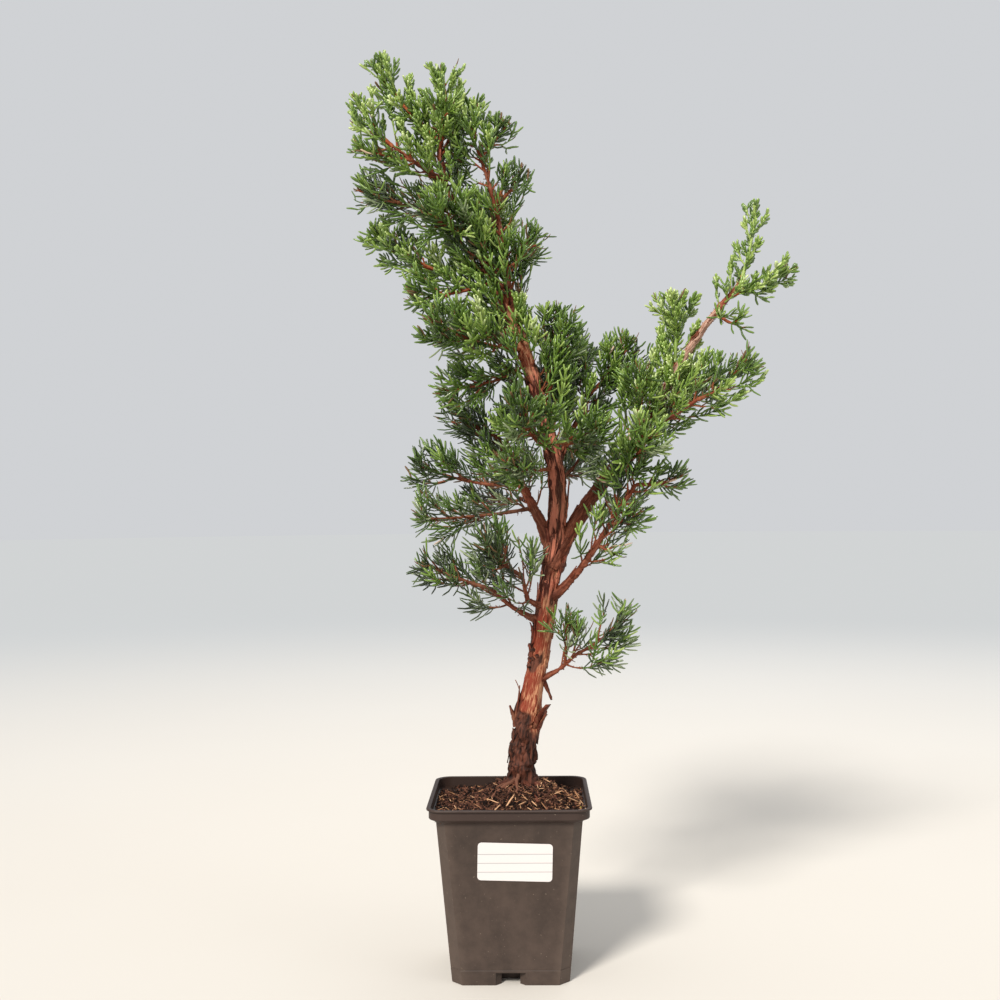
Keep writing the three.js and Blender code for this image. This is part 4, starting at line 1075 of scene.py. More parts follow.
def beside(points, stretch):
    """How far along a straight stretch points lie, from 0 to 1, and how far off it."""
    away, line = points - stretch[:3], stretch[3:6] - stretch[:3]
    share = np.clip(away @ line / (line @ line), 0, 1)
    return share, np.linalg.norm(away - share[:, None] * line, axis=1)


def outness(points):
    """How far out of each mass's stem the points lie: 0 on it, 1 at the edge of its room."""
    found = np.full((len(points), len(masses)), np.inf)
    for stretch, owner, spread in leafy:
        found[:, owner] = np.minimum(found[:, owner], beside(points, stretch)[1] / spread)
    return found


def wood_gap(points):
    """How far points lie outside the skin of the trunk and boughs."""
    nearest = np.full(len(points), np.inf)
    for stretch in wood:
        share, distance = beside(points, stretch)
        nearest = np.minimum(nearest, distance - lerp(stretch[6], stretch[7], share))
    return nearest


def in_room(points, owners, reach, beyond=5.0, mingle=1.0):
    """Whether points lie in their mass's room, which narrows to a point a little beyond its stem's tip.
    Where they may mingle, they may also reach a little into a neighbour's room."""
    found = outness(points)
    owners = np.broadcast_to(owners, len(found))
    own = found[np.arange(len(found)), owners]
    past = np.sum((points - stem_ends[owners]) * stem_ways[owners], axis=1)
    line = (stem_ends - stem_feet)[owners]
    along = np.sum((points - stem_feet[owners]) * line, axis=1) / np.sum(line**2, axis=1)
    narrowed = lerp(1, POINTED["share"], smoothstep(along, POINTED["from"], POINTED["to"]))
    room = reach * trims[owners] * narrowed
    nearest = own <= found.min(axis=1) * mingle + EPSILON
    return (own <= room) & nearest & (past <= beyond * scales[owners]), own


def before_gap(points):
    """Whether points lie in the gap in front of the trunk that lets a stretch of it be seen."""
    climb, to_right, to_back = beside_trunk(points)
    inside = (climb > GAP["low"]) & (climb < GAP["high"]) & (to_back < 0)
    return inside & (np.abs(to_right) < GAP["half"])


print("a test point's room:", round(float(outness(stem_ends[:1]).min()), 3))

# %% [markdown]
# ## Shoots
#
# Shoots leave the stems at the golden angle, one after another, as leaves do on most plants. They are
# longest in the middle of the stem, so that a mass comes out round. A shoot whose tip finds no room is
# tried again shorter. The limbs themselves carry short shoots too, where they pass through a mass.

# %% Shoots
GOLDEN_ANGLE = 137.5
SHOOT = {  # the splay is given at the stem's foot and tip
    "gap": 5.2, "splay": (62, 34), "swing": 10, "held": 9.0, "shortest": 10, "step": 8, "lift": 0.65,
    "onward": 0.55, "lowest": -0.6, "tries": (1.0, 0.8, 0.62, 0.45), "room": (0.6, 1.05),
}
LIMB_SHOOT = {
    "gap": 3.6, "splay": 52, "length": 25, "room": 0.95, "tries": (1.0, 0.7, 0.45), "lowest": -0.45,
}
LEAFY_LIMBS = {  # the place from where each limb carries shoots of its own
    "trunk": 0.5, "right_limb": 0.4, "left_limb": 0.3, "low_left_branch": 0.55, "low_left_twig": 0.45,
    "right_branch": 0.32, "low_right_branch": 0.6, "upper_right_branch": 0.12, "upper_left_branch": 0.15,
    "inner_right_branch": 0.25, "side_branch": 0.2,
}
BARE_STRETCH = {"right_limb": (0.66, 0.9)}
OVER_GAP = (0.67, 0.78)  # the trunk carries a second set of shoots here, above the gap
WOOD_CLEAR = 1.0  # mm that a shoot's tip keeps from the bark


def varied(value, draw):
    return value * (1 + 0.15 * (2 * draw() - 1))


def fullness(place):
    return math.sin(math.pi * place**0.8) ** 0.6 * 0.75 + 0.3


def grow_shoot(point, ways, length, tries, thick, room, mass=None):
    """Grows a shoot at the greatest of several lengths at which its tip finds room, if any does."""
    for part in tries:
        shoot = Limb(point, ways, length * part, SHOOT["step"], thick)
        tip = shoot.points[-1:]
        owner = mass or masses[int(np.argmin(outness(tip)[0]))]
        if in_room(tip, owner.index, room)[0][0] and wood_gap(tip)[0] > WOOD_CLEAR:
            owner.shoots.append(shoot)
            return


print("fullness in the middle of a stem:", round(fullness(0.5), 2))

# %% Grow the shoots


def grow_shoots(mass):
    draw, dice = seeded(1100 + mass.index), np.random.default_rng(mass.index)
    stem = mass.stem
    count = max(math.floor(stem.length * (1 - mass.bare) / SHOOT["gap"] / mass.open**0.5 + 0.5), 3)
    turn = 360 * draw()
    for k in range(count):
        share = (k + 0.5) / count
        turn += GOLDEN_ANGLE
        splay = lerp(*SHOOT["splay"], share) + SHOOT["swing"] * (draw() - 0.5)
        across = mass.spread * fullness(share) - SHOOT["held"] * mass.scale
        length = varied(max(across / math.sin(math.radians(splay)), SHOOT["shortest"]), draw)
        point, ahead, side, up = stem.at(lerp(mass.bare, 1, share))
        way = outward(ahead, side, up, turn, splay)
        ways = [way, unit(way + UP * SHOOT["lift"] + ahead * SHOOT["onward"])]
        room = dice.uniform(*SHOOT["room"])
        if way[2] >= SHOOT["lowest"] or mass.open <= 1:
            grow_shoot(point, ways, length, SHOOT["tries"], tapered(0.85, 0.5), room, mass)


def grow_from_limb(limb, first, draw, bare=(1, 1)):
    """Short shoots that leave a limb itself, where it passes through the room of a mass."""
    turn = 360 * draw()
    for share in np.arange(first, 1, LIMB_SHOOT["gap"] / limb.length):
        turn += GOLDEN_ANGLE
        if bare[0] < share < bare[1]:
            continue
        point, ahead, side, up = limb.at(share)
        way = outward(ahead, side, up, turn, varied(LIMB_SHOOT["splay"], draw))
        length = varied(LIMB_SHOOT["length"], draw) + limb.radius(share)
        ways = [way, unit(way + UP * SHOOT["lift"] + ahead * SHOOT["onward"])]
        if way[2] >= LIMB_SHOOT["lowest"]:
            grow_shoot(point, ways, length, LIMB_SHOOT["tries"], tapered(0.7, 0.4), LIMB_SHOOT["room"])


for mass in masses:
    grow_shoots(mass)
from_stems = sum(len(mass.shoots) for mass in masses)
for index, (name, first) in enumerate(LEAFY_LIMBS.items()):
    grow_from_limb(limbs[name], first, seeded(3300 + index), BARE_STRETCH.get(name, (1, 1)))
grow_from_limb(limbs["trunk"], OVER_GAP[0], seeded(3320), (OVER_GAP[1], 1))
shoot_count = sum(len(mass.shoots) for mass in masses)
print("shoots from stems:", from_stems, "and from limbs:", shoot_count - from_stems)

# %% [markdown]
# ## Twigs
#
# Twigs stand along every shoot and along the leafy part of the stem, turned by the golden angle from one
# to the next. They start out at a sharp angle and bend towards the light. A twig that would leave its
# room is cut short, and cut away if even its shorter form doesn't fit. A kishu juniper's growing tips
# carry scales pressed to the twig, while its older and shaded twigs carry loose needles, so each twig
# gets a freshness, from its mass and its place in the mass.

# %% Twigs
TWIG = {
    "gap": 5.5, "splay": 44, "splay_at_tip": 18, "swing": 24, "length": 28, "length_at_tip": 17,
    "lift": 0.7, "room": (0.7, 1.2), "shorter": (0.82, 0.65, 0.5, 0.36), "first": 0.14,
    "fresh_gap": 0.72, "fresh_length": 0.74, "mingle": 1.2, "wood_clear": 1.5,
}
GREEN_STEMS = ("right_tip_up", "right_tip_out", "right_top")  # leaves clothe these from the foot on
chance = np.random.default_rng(20)


def twig_rows(mass):
    """Feet, ways, lengths and freshness of the twigs of one mass, before they are tested for room."""
    rows = []
    scaly = smoothstep(mass.fresh, 0.5, 0.85)
    gap = TWIG["gap"] * mass.open * lerp(1, TWIG["fresh_gap"], scaly)
    bare = 0.05 if mass.name in GREEN_STEMS else mass.bare
    carriers = [(mass.stem, bare, 1.15, 0.4)] + [(shoot, TWIG["first"], 1.0, 0.6) for shoot in mass.shoots]
    for limb, first, reach, middle in carriers:
        count = max(int(limb.length * (1 - first) / gap), 2)
        share = (np.arange(count) + 0.5) / count
        point, ahead, side, up = limb.at(first + (1 - first) * share)
        turns = chance.uniform(0, 360) + GOLDEN_ANGLE * np.arange(count)
        splays = lerp(TWIG["splay"], TWIG["splay_at_tip"], share)
        splays = splays + chance.uniform(-1, 1, count) * TWIG["swing"]
        ways = np.vstack([outward(ahead, side, up, turns, splays), limb.directions[-1:]])
        share = np.append(share, 1.0)
        long = lerp(TWIG["length"], TWIG["length_at_tip"], share) * reach * mass.scale
        long = long * lerp(1, TWIG["fresh_length"], scaly) * chance.uniform(0.75, 1.2, count + 1)
        fresh = mass.fresh + 0.32 * (share - middle)
        rows.append((np.vstack([point, limb.points[-1:]]), ways, long, fresh))
    return [np.concatenate(part) for part in zip(*rows)]


def twig_course(feet, ways, lengths, share):
    """The point and the way ahead at a share of each twig, which bends up as it grows."""
    share, long = np.asarray(share)[..., None], lengths[..., None]
    ends = unit(ways + UP * TWIG["lift"])
    return feet + (ways * share + (ends - ways) * share**2 / 2) * long, unit(lerp(ways, ends, share))


def twig_fits(lengths):
    tips = twig_course(feet, ways, lengths, 1.0)[0]
    inside, own = in_room(tips, owners, ragged, mingle=TWIG["mingle"])
    return inside & (wood_gap(tips) > TWIG["wood_clear"]) & ~before_gap(tips), own


parts = [twig_rows(mass) for mass in masses]
owners = np.repeat([mass.index for mass in masses], [len(part[0]) for part in parts])
feet, ways, full, fresh = [np.concatenate(part) for part in zip(*parts)]
ragged = chance.uniform(*TWIG["room"], len(feet))
lengths = full
for part in TWIG["shorter"]:
    fits, _ = twig_fits(lengths)
    lengths = np.where(fits, lengths, full * part)
fits, own = twig_fits(lengths)
fresh = np.clip(fresh + 0.3 * (own - 0.6) + chance.uniform(-0.12, 0.12, len(fresh)), 0, 1)
bare_feet, bare_ways, bare_lengths = [part[~fits] for part in (feet, ways, lengths)]
feet, ways, lengths, fresh, owners = [part[fits] for part in (feet, ways, lengths, fresh, owners)]
print("twigs:", len(feet), "of", len(fits))

# %% [markdown]
# ## Needles
#
# What looks like a needle is a slim cord of scales. It is made as a four-sided bar that bends towards
# its twig's tip and ends bluntly, twenty-six triangles in all. Its root is open, since it sits inside the
# twig. The needles stand in pairs, each pair turned from the one before. Towards the fresh tips they turn
# into short stout cords, and the pairs lie nearly in one plane, so the spray becomes a small fan. All
# needles are made at once from arrays of their roots, ways and lengths.

# %% Needles
NEEDLE = {
    "gap": 3.0, "gap_fresh": 2.3, "length": 10.8, "length_fresh": 5.4, "width": 1.7, "width_fresh": 2.05,
    "splay": 44, "splay_fresh": 38, "bend": 0.6, "bend_at": 0.5, "room": 1.3, "beyond": 10.0,
    "first": 0.14, "turn": 90, "turn_fresh": 34, "mingle": 1.35, "wood_clear": 0.4,
}
SCALE_FROM, SCALE_TO = 0.6, 0.88  # the freshness at which leaves turn from needles to scales
SHADED = {"closer": 0.2, "longer": 0.22, "thinner": 0.26}  # how needles in the shade differ
BAR = np.vstack([grid_faces(4, 4), [[12, 13, 14], [12, 14, 15]]])  # four rings of four, and a blunt tip
BAR_OUTER = 16  # the first face of a bar's last stretch


def shaded(fresh):
    return smoothstep(0.5 - fresh, 0.05, 0.28)


def needle_roots(lengths, fresh):
    """One row for every needle: its twig, its share along it, its turn round it and how scaly it is."""
    scaly = smoothstep(fresh, SCALE_FROM, SCALE_TO)
    gaps = lerp(NEEDLE["gap"], NEEDLE["gap_fresh"], scaly) * (1 - SHADED["closer"] * shaded(fresh))
    whorls = np.maximum((lengths * (1 - NEEDLE["first"]) / gaps).astype(int), 2)
    twig = np.repeat(np.arange(len(lengths)), whorls * 2)
    order = np.arange(len(twig)) - np.repeat(np.cumsum(whorls * 2) - whorls * 2, whorls * 2)
    whorl = order // 2
    share = lerp(NEEDLE["first"], 1.0, (whorl + 0.5) / whorls[twig])
    turn = whorl * lerp(NEEDLE["turn"], NEEDLE["turn_fresh"], scaly)[twig] + (order % 2) * 180
    turn = turn + chance.uniform(0, 360, len(lengths))[twig] + chance.uniform(-22, 22, len(twig))
    return twig, share, turn, scaly[twig]


def bars(roots, middles, tips, flats, widths):
    """Points and faces of needles: slim four-sided bars that bend at their middles and end bluntly."""
    along = unit(tips - roots)
    across = unit(np.cross(along, flats))
    keel = unit(np.cross(across, along)) * 0.85
    half = (widths / 2)[:, None]
    rings = []
    for middle, swell in ((roots, 0.72), (middles, 1.0), (lerp(middles, tips, 0.72), 0.92), (tips, 0.45)):
        rings += [middle + way * half * swell for way in (across, keel, -across, -keel)]
    return np.stack(rings, axis=1).reshape(-1, 3), repeated(BAR, len(roots), len(rings))


twig, share, turn, scaly = needle_roots(lengths, fresh)
roots, ahead = twig_course(feet[twig], ways[twig], lengths[twig], share)
side = unit(np.cross(ahead, RIGHT + UP * 0.3))
up = np.cross(side, ahead)
splay = lerp(NEEDLE["splay"], NEEDLE["splay_fresh"], scaly) * lerp(1.1, 0.7, share)
splay = splay * chance.uniform(0.7, 1.3, len(twig))
needle_ways = outward(ahead, side, up, turn, splay)
shade = shaded(fresh[twig])
longs = lerp(NEEDLE["length"], NEEDLE["length_fresh"], scaly) * chance.uniform(0.78, 1.15, len(twig))
longs = longs * (1 + SHADED["longer"] * shade) * lerp(1.0, 0.75, share**2)
middles = roots + needle_ways * (longs * NEEDLE["bend_at"])[:, None]
bent_ways = unit(needle_ways + ahead * NEEDLE["bend"])
tips = middles + bent_ways * (longs * (1 - NEEDLE["bend_at"]))[:, None]
inside, needle_own = in_room(tips, owners[twig], NEEDLE["room"], NEEDLE["beyond"], NEEDLE["mingle"])
kept = inside & (wood_gap(tips) > NEEDLE["wood_clear"]) & ~before_gap(tips)
print("needles:", kept.sum(), "of", len(kept))

# %% [markdown]
# ## Greens
#
# The real foliage runs from blue-green and deep green in the shade, through olive, to bright yellow-green
# at the growing tips. Each spray takes one plain green by its freshness, with a little chance, and its
# outermost needles take the next brighter one. Needles deep inside a mass are dealt darker greens as
# painted shade, and some whole masses are darkened as painted shade. A pattern would blur on needles
# this fine, so the colours are plain and the variety comes from the dealing.

# %% Greens
GREENS = ("2d400f", "3a5317", "4a651f", "5b7829", "6e8a35", "839c44", "9fb35f", "bfcd8e")
GREY_GREENS = ("2c3920", "465631", "64754a", "8f9d73")
DRY = {"spent_needle": "6b5030", "dry_needle": "cdb096"}
GLOSS = {"Roughness": 0.36, "Specular_IOR_Level": 0.5, "Coat_Weight": 0.45, "Coat_Roughness": 0.18}
PAINTED_SHADE_BY_MASS = {  # how much painted shade darkens a mass below what its freshness says, or each mass on a limb
    "right_tip_up": 0.16, "right_tip_out": 0.13, "low_left_branch": 0.07, "low_left_twig": 0.07,
    "left_limb": 0.05, "crown_back": 0.06, "crown_back_low": 0.06, "right_branch": 0.04,
    "low_right_branch": 0.04, "top_left": 0.05, "top_middle": 0.05, "top_front": 0.03,
    "top_back": 0.08, "upper_right_branch": 0.03,
}
PIECES = {  # how the names of each piece's masses begin
    "top": ("top", "left_tip", "upper"),
    "left": ("left_strand", "mid_left"),
    "crown": ("crown", "inner_right"),
    "right": ("right_inner", "right_back", "right_top", "right_tip", "right_side"),
    "low": ("low", "left_limb", "right_branch"),
}
OLD_BELOW, NEW_ABOVE = 0.38, 0.62
greens = []
for k, code in enumerate(GREENS + GREY_GREENS):
    greens.append(Finish(f"needle_green_{k}", Base_Color=colour(code), **GLOSS))
freshness, count = fresh[twig], len(twig)
bright = 0.16 + freshness * 0.5 + 0.2 * (share - 0.5) * lerp(0.6, 1, freshness)
# Painted shade: needles deep inside their mass take darker greens, those at its edge lighter ones.
bright += 0.3 * (needle_own - 0.72)
bright += (chance.uniform(-0.1, 0.1, len(fresh)) + noise_at(feet * 0.04) * 0.3)[twig]
bright += chance.uniform(-0.08, 0.08, count) + 0.22 * (chance.random(count) < 0.15)
# Painted shade: each listed mass is darkened as a whole.
bright -= np.array([set_for(mass, PAINTED_SHADE_BY_MASS, 0.0) for mass in masses])[owners[twig]]
tints = np.clip((bright * len(GREENS)).astype(int), 0, len(GREENS) - 1)
spent = (needle_own < 0.5) & (chance.random(count) < 0.08) & (scaly < 0.5)
greyed = (chance.random(len(fresh)) < 0.55 * shaded(fresh))[twig]
tints = np.where(greyed, len(GREENS) + np.clip((bright * 8).astype(int), 0, len(GREY_GREENS) - 1), tints)
tints = np.where(spent, len(greens), tints)
tints = np.where(chance.random(count) < 0.004, len(greens) + 1, tints)
brighter = (tints < len(GREENS) - 1) & (scaly > 0.3)
greens += [Finish(name, Base_Color=colour(code), Roughness=0.7) for name, code in DRY.items()]
widths = lerp(NEEDLE["width"], NEEDLE["width_fresh"], scaly) * (1 - SHADED["thinner"] * shade)
for group, begins in PIECES.items():
    chosen_masses = [mass for mass in masses if mass.name.startswith(begins)]
    chosen = kept & np.isin(owners[twig], [mass.index for mass in chosen_masses])
    points, faces = bars(*[part[chosen] for part in (roots, middles, tips, ahead, widths)])
    shares = np.repeat(tints[chosen][:, None], len(BAR), axis=1)
    shares[:, BAR_OUTER:] += brighter[chosen][:, None]
    tone = np.mean([mass.fresh for mass in chosen_masses])
    slot = "foliage_old" if tone < OLD_BELOW else "foliage_new" if tone > NEW_ABOVE else "foliage_mid"
    names = [mass.name for mass in chosen_masses]
    make_piece(f"needles_{group}", points, faces, greens, slot, names, shares.ravel())

# %% [markdown]
# ## The wood inside the masses
#
# Stems and shoots are thin here, since the needles have their own room in the finer rule. They are
# orange-brown and rough with the stubs of old needles. A twig is brown only at its foot and then green
# like its needles, and a twig that found no room stays as a dry brown stub. All are slim tubes with few
# sides.

# %% Twigs as tubes
TWIG_RINGS = np.array([1.2, 1.05, 1.0, 0.85, 0.55])  # shares of a twig's radius, from its foot to its tip
BARE_TWIG_RINGS = np.array([0.45, 0.4, 0.35, 0.3, 0.2])
TWIG_FOOT = 6  # faces between the first two rings


def tubes(centres, aheads, radii, sides):
    """Tubes along rows of points, all with as many rings, closed at their tips."""
    side = unit(np.cross(aheads, RIGHT + UP * 0.3 + 0 * aheads))
    up = np.cross(side, aheads)
    turns = np.arange(sides) / sides * math.tau
    out = side[:, :, None] * np.cos(turns)[:, None] + up[:, :, None] * np.sin(turns)[:, None]
    points = centres[:, :, None] + out * radii[:, :, None, None]
    count, rings = centres.shape[:2]
    last = (rings - 1) * sides
    tip = [[last, last + k, last + k + 1] for k in range(1, sides - 1)]
    return points.reshape(-1, 3), repeated(np.vstack([grid_faces(rings, sides), tip]), count, rings * sides)


def twig_tubes(feet, ways, lengths, radii):
    """Three-sided tubes along twigs, with a radius for each ring."""
    steps = np.linspace(0, 1, radii.shape[1])
    centres, aheads = zip(*[twig_course(feet, ways, lengths, step) for step in steps])
    return tubes(np.stack(centres, axis=1), np.stack(aheads, axis=1), radii, 3)


twig_wood = Heap()
thick = lerp(0.5, 0.8, smoothstep(fresh, SCALE_FROM, SCALE_TO))
points, faces = twig_tubes(feet, ways, lengths, thick[:, None] * TWIG_RINGS)
green = 1 + np.clip((fresh * 0.85 * len(GREENS)).astype(int), 0, len(GREENS) - 1)
shares = np.repeat(green[:, None], len(faces) // len(feet), axis=1)
shares[fresh < 0.6, :TWIG_FOOT] = 0
twig_wood.add(points, faces, shares.ravel())
bare_lengths = bare_lengths * chance.uniform(0.5, 1.1, len(bare_lengths))
twig_wood.add(*twig_tubes(bare_feet, bare_ways, bare_lengths, np.tile(BARE_TWIG_RINGS, (len(bare_feet), 1))))
old_twig = Finish("old_twig", Base_Color=colour("6d4a2c"), Roughness=0.7, Specular_IOR_Level=0.3)
twig_wood.piece("twigs", [old_twig, *greens[: len(GREENS)]], "bark")

# %% Stems and shoots
STEM_WOOD = {"root": 1.4, "tip": 0.7, "small_tip": 0.5, "sides": 8, "green_from": 0.75}
SHOOT_WOOD = {"root": 0.7, "tip": 0.4, "small_tip": 0.4, "sides": 6, "green_from": 0.4}
SMALL_BELOW = 0.8  # of the full spread
GREEN_STEM_SOONER = 0.35
STEM_SPURS = (2.2, 1.8, 0.35)
STEM_RING_GAP = 2

# Its fifth colour is the raised edges of strips: partly lifting strips, partly a painted highlight.
young_bark = bark_finish("young_bark", "9c4826", "c07a4c", "4f3022", "7d5642", "b98a66")
stems = Heap()
for mass in masses:
    tint = 1 + min(int((0.15 + mass.fresh * 0.6) * len(GREENS)), len(GREENS) - 1)
    for limb, form in [(mass.stem, STEM_WOOD)] + [(shoot, SHOOT_WOOD) for shoot in mass.shoots]:
        sides, tip = form["sides"], form["small_tip" if mass.scale < SMALL_BELOW else "tip"]
        rings = max(int(limb.length / STEM_RING_GAP), 3)
        places = np.linspace(0, 1, rings)
        point, way, _, _ = limb.at(places)
        bend = np.sin(places * math.pi)[:, None] * chance.uniform(-1, 1, 3) * limb.length * 0.03
        radii = lerp(form["root"], tip, places) * (1 + chance.uniform(-0.2, 0.2, rings))
        points, faces = tubes((point + bend)[None], way[None], radii[None], sides)
        along = np.stack([0 * places, 0 * places, places * limb.length], axis=-1)
        grain = np.repeat(along, sides, axis=0) + points * 0.3
        young = np.repeat(np.clip(1.1 - mass.fresh - places * 0.3, 0, 1), sides)
        turns_green = form["green_from"] + 0.3 - mass.fresh * 0.6
        turns_green -= GREEN_STEM_SOONER * (mass.name in GREEN_STEMS)
        green = np.arange(len(faces)) // (2 * sides) >= turns_green * (rings - 1)
        add_bark(stems, points, faces, grain, 0.5, young, share=np.where(green, tint, 0))
        points, faces, along = spurs(limb, *STEM_SPURS)
        count = len(along) // SPUR_POINTS
        green = along[::SPUR_POINTS].repeat(len(faces) // count) >= turns_green
        add_bark(stems, points, faces, points, 0.5, 0.5, share=np.where(green, tint, 0))
stems.piece("stems", [young_bark, *greens[: len(GREENS)]], "bark")

# %% [markdown]
# ## Soil
#
# The soil is dark fibrous peat with bits of bark and straw, nearly level at the pot's wall and heaped
# round the trunk. Its surface is a fine net of rings from the wall to the trunk, lifted by noise. Loose
# crumbs, chips and straws lie on it as small meshes of their own, because they break the light in a way
# that a bump can't.

# %% Soil surface
SOIL = {"level": 109.8, "right": 0.012, "front": 0.028, "crown": 126, "disc": 15, "mound": 46, "floor": 2.8}
WALL = {"low": (2.5, 38.0, 6.6), "high": (111.5, 47.2, 5.4)}  # height, half width and corner of its inside
SEAT_GAP = 0.3  # between the soil and the pot's wall
SOIL_RINGS, SOIL_SIDE, SOIL_INNER = 64, 70, 7.5
SOIL_EDGE = 1.2  # how far the soil may stand over its level at the wall


def square_ring(half, corner, rounding, side_points, corner_points=5):
    """Points round a square with cut or rounded corners, counter-clockwise."""
    ring = []
    flat = half - corner
    for quarter in range(4):
        turn = Matrix.Rotation(quarter * math.pi / 2, 2)
        for k in range(corner_points):
            step = k / (corner_points - 1)
            x = lerp(half - corner * step, flat + corner * math.cos(step * math.pi / 2), rounding)
            y = lerp(flat + corner * step, flat + corner * math.sin(step * math.pi / 2), rounding)
            ring.append(turn @ Vector((x, y)))
        for k in range(1, side_points + 1):
            ring.append(turn @ Vector((lerp(flat, -flat, k / (side_points + 1)), half)))
    return np.array([(point.x, point.y) for point in ring])


def wall_ring(z, side_points):
    (low, low_half, low_corner), (high, high_half, high_corner) = WALL["low"], WALL["high"]
    share = (z - low) / (high - low)
    half = lerp(low_half, high_half, share) - SEAT_GAP
    return square_ring(half, lerp(low_corner, high_corner, share), 0, side_points)


def ground(x, y):
    level = SOIL["level"] + SOIL["right"] * x - SOIL["front"] * y
    away = np.hypot(x - TRUNK["foot"][0], y - TRUNK["foot"][1])
    return lerp(SOIL["crown"], level, smoothstep(away, SOIL["disc"], SOIL["mound"]))


def rough_ground(x, y):
    """The ground with its lumps and crumbs."""
    spots = np.stack([x, y, 0 * x], axis=-1)
    lumps = noise_at(spots * 0.09) * 1.3 + noise_at(spots * 0.3 + 5) * 0.8
    lumps = lumps + np.abs(noise_at(spots * 0.8)) * 0.9
    return ground(x, y) + lumps - 0.3


def raised(plan, height):
    """Points over a plan, at one height or each at its own."""
    return np.column_stack([plan, np.broadcast_to(height, len(plan))])


def stacked(rings, low, high):
    """Points and faces of a body made of rings, closed at both ends with a fan round a middle point."""
    count, last = len(rings[0]), len(rings[0]) * len(rings)
    caps = [[(k + 1) % count, k, last] for k in range(count)]
    caps += [[last - count + k, last - count + (k + 1) % count, last + 1] for k in range(count)]
    return np.vstack([*rings, [low, high]]), np.vstack([grid_faces(len(rings), count), caps])


print("the soil stands", round(float(ground(0, -40)), 1), "mm high in front")

# %% Soil bed
edge = wall_ring(SOIL["level"], SOIL_SIDE)
foot = np.array(TRUNK["foot"][:2], float)
inner = foot + unit(edge - foot) * SOIL_INNER
layers = [edge + (inner - edge) * share for share in np.linspace(0, 1, SOIL_RINGS)]
soil_rings = [raised(wall_ring(SOIL["floor"], SOIL_SIDE), SOIL["floor"])]
soil_rings += [raised(layer, rough_ground(layer[:, 0], layer[:, 1])) for layer in layers]
soil_rings[1][:, 2] = np.minimum(soil_rings[1][:, 2], SOIL["level"] + SOIL_EDGE)
points, faces = stacked(soil_rings, (*foot, SOIL["floor"]), (*foot, SOIL["crown"]))
peat = Finish("peat", Roughness=0.95, Specular_IOR_Level=0.15)
specks, damp = peat.clouds(peat.spot(), 0.0016, 4.0, 0.7), peat.clouds(peat.spot(), 0.02, 3.0)
crumbly = (specks * 0.8 + damp * 0.4).between(0.5, 0.8)
peat.set(Base_Color=peat.mix(crumbly, colour("24160f"), colour("6a4838")))
peat.bump(specks, 0.9, 0.0008)
soil_bed = make_piece("soil_bed", points, faces, [peat], "soil", ["soil"])

# %% [markdown]
# ## Crumbs, chips and straw
#
# A crumb is a twenty-sided lump with its corners pulled about. A chip is the same lump pressed flat, and
# a straw is drawn out long and thin. So one small shape, thousands of sizes and a few browns make the
# litter. Thin roots run down the mound in front.

# %% Crumbs, chips and straw
GOLD = (1 + math.sqrt(5)) / 2
LUMP_POINTS = unit(np.array([
    (-1, GOLD, 0), (1, GOLD, 0), (-1, -GOLD, 0), (1, -GOLD, 0), (0, -1, GOLD), (0, 1, GOLD),
    (0, -1, -GOLD), (0, 1, -GOLD), (GOLD, 0, -1), (GOLD, 0, 1), (-GOLD, 0, -1), (-GOLD, 0, 1),
]))
LUMP_FACES = np.array([
    (0, 11, 5), (0, 5, 1), (0, 1, 7), (0, 7, 10), (0, 10, 11), (1, 5, 9), (5, 11, 4), (11, 10, 2), (10, 7, 6),
    (7, 1, 8), (3, 9, 4), (3, 4, 2), (3, 2, 6), (3, 6, 8), (3, 8, 9), (4, 9, 5), (2, 4, 11), (6, 2, 10),
    (8, 6, 7), (9, 8, 1),
])
LITTER = {  # kind: count, length, width, thickness, tilt in degrees, finishes, share of them on the right
    "crumb": (4600, (0.7, 2.6), 0.8, 0.7, 90, (0, 0, 0, 1, 1, 2), 0.45),
    "chip": (130, (2.5, 6.0), 0.5, 0.18, 35, (1, 2, 2, 3), 0.55),
    "fibre": (1700, (3.0, 9.0), 0.07, 0.07, 32, (0, 0, 1, 2, 2, 3), 0.5),
    "straw": (44, (7.0, 15.0), 0.085, 0.075, 28, (3, 4, 4), 0.8),
    "tan fibre": (520, (3.0, 9.0), 0.08, 0.08, 30, (3, 3, 4), 0.9),
    "scrap": (1, (9.0, 9.1), 0.3, 0.1, 10, (5,), 1.0),
}
LITTER_AREA = {"half": 50.5, "from_trunk": 10, "corners": 92}
LEDGE = {"low": 111.3, "high": 113.5, "from": 47.2, "wide": 4.7}  # the pot's inner step carries litter too
MOUND_ROOTS = [  # bearing, reach, rise at the trunk, radius: roots that run down the mound
    (258, 21, 9.0, 1.5), (232, 27, 4.0, 1.8), (214, 30, 2.5, 1.1), (247, 33, 2.0, 0.8), (330, 20, 5.0, 0.7),
]
ROOT_RINGS, ROOT_SIDES, ROOT_START = 14, 10, 5.5
BROWNS = {
    "crumb_dark": "1d110d", "crumb_brown": "452b20", "crumb_red": "6e4838", "chip_tan": "a87a58",
    "straw": "d6a880", "green_scrap": "a3a53a",
}
litter_heap = Heap()
dice = np.random.default_rng(7)
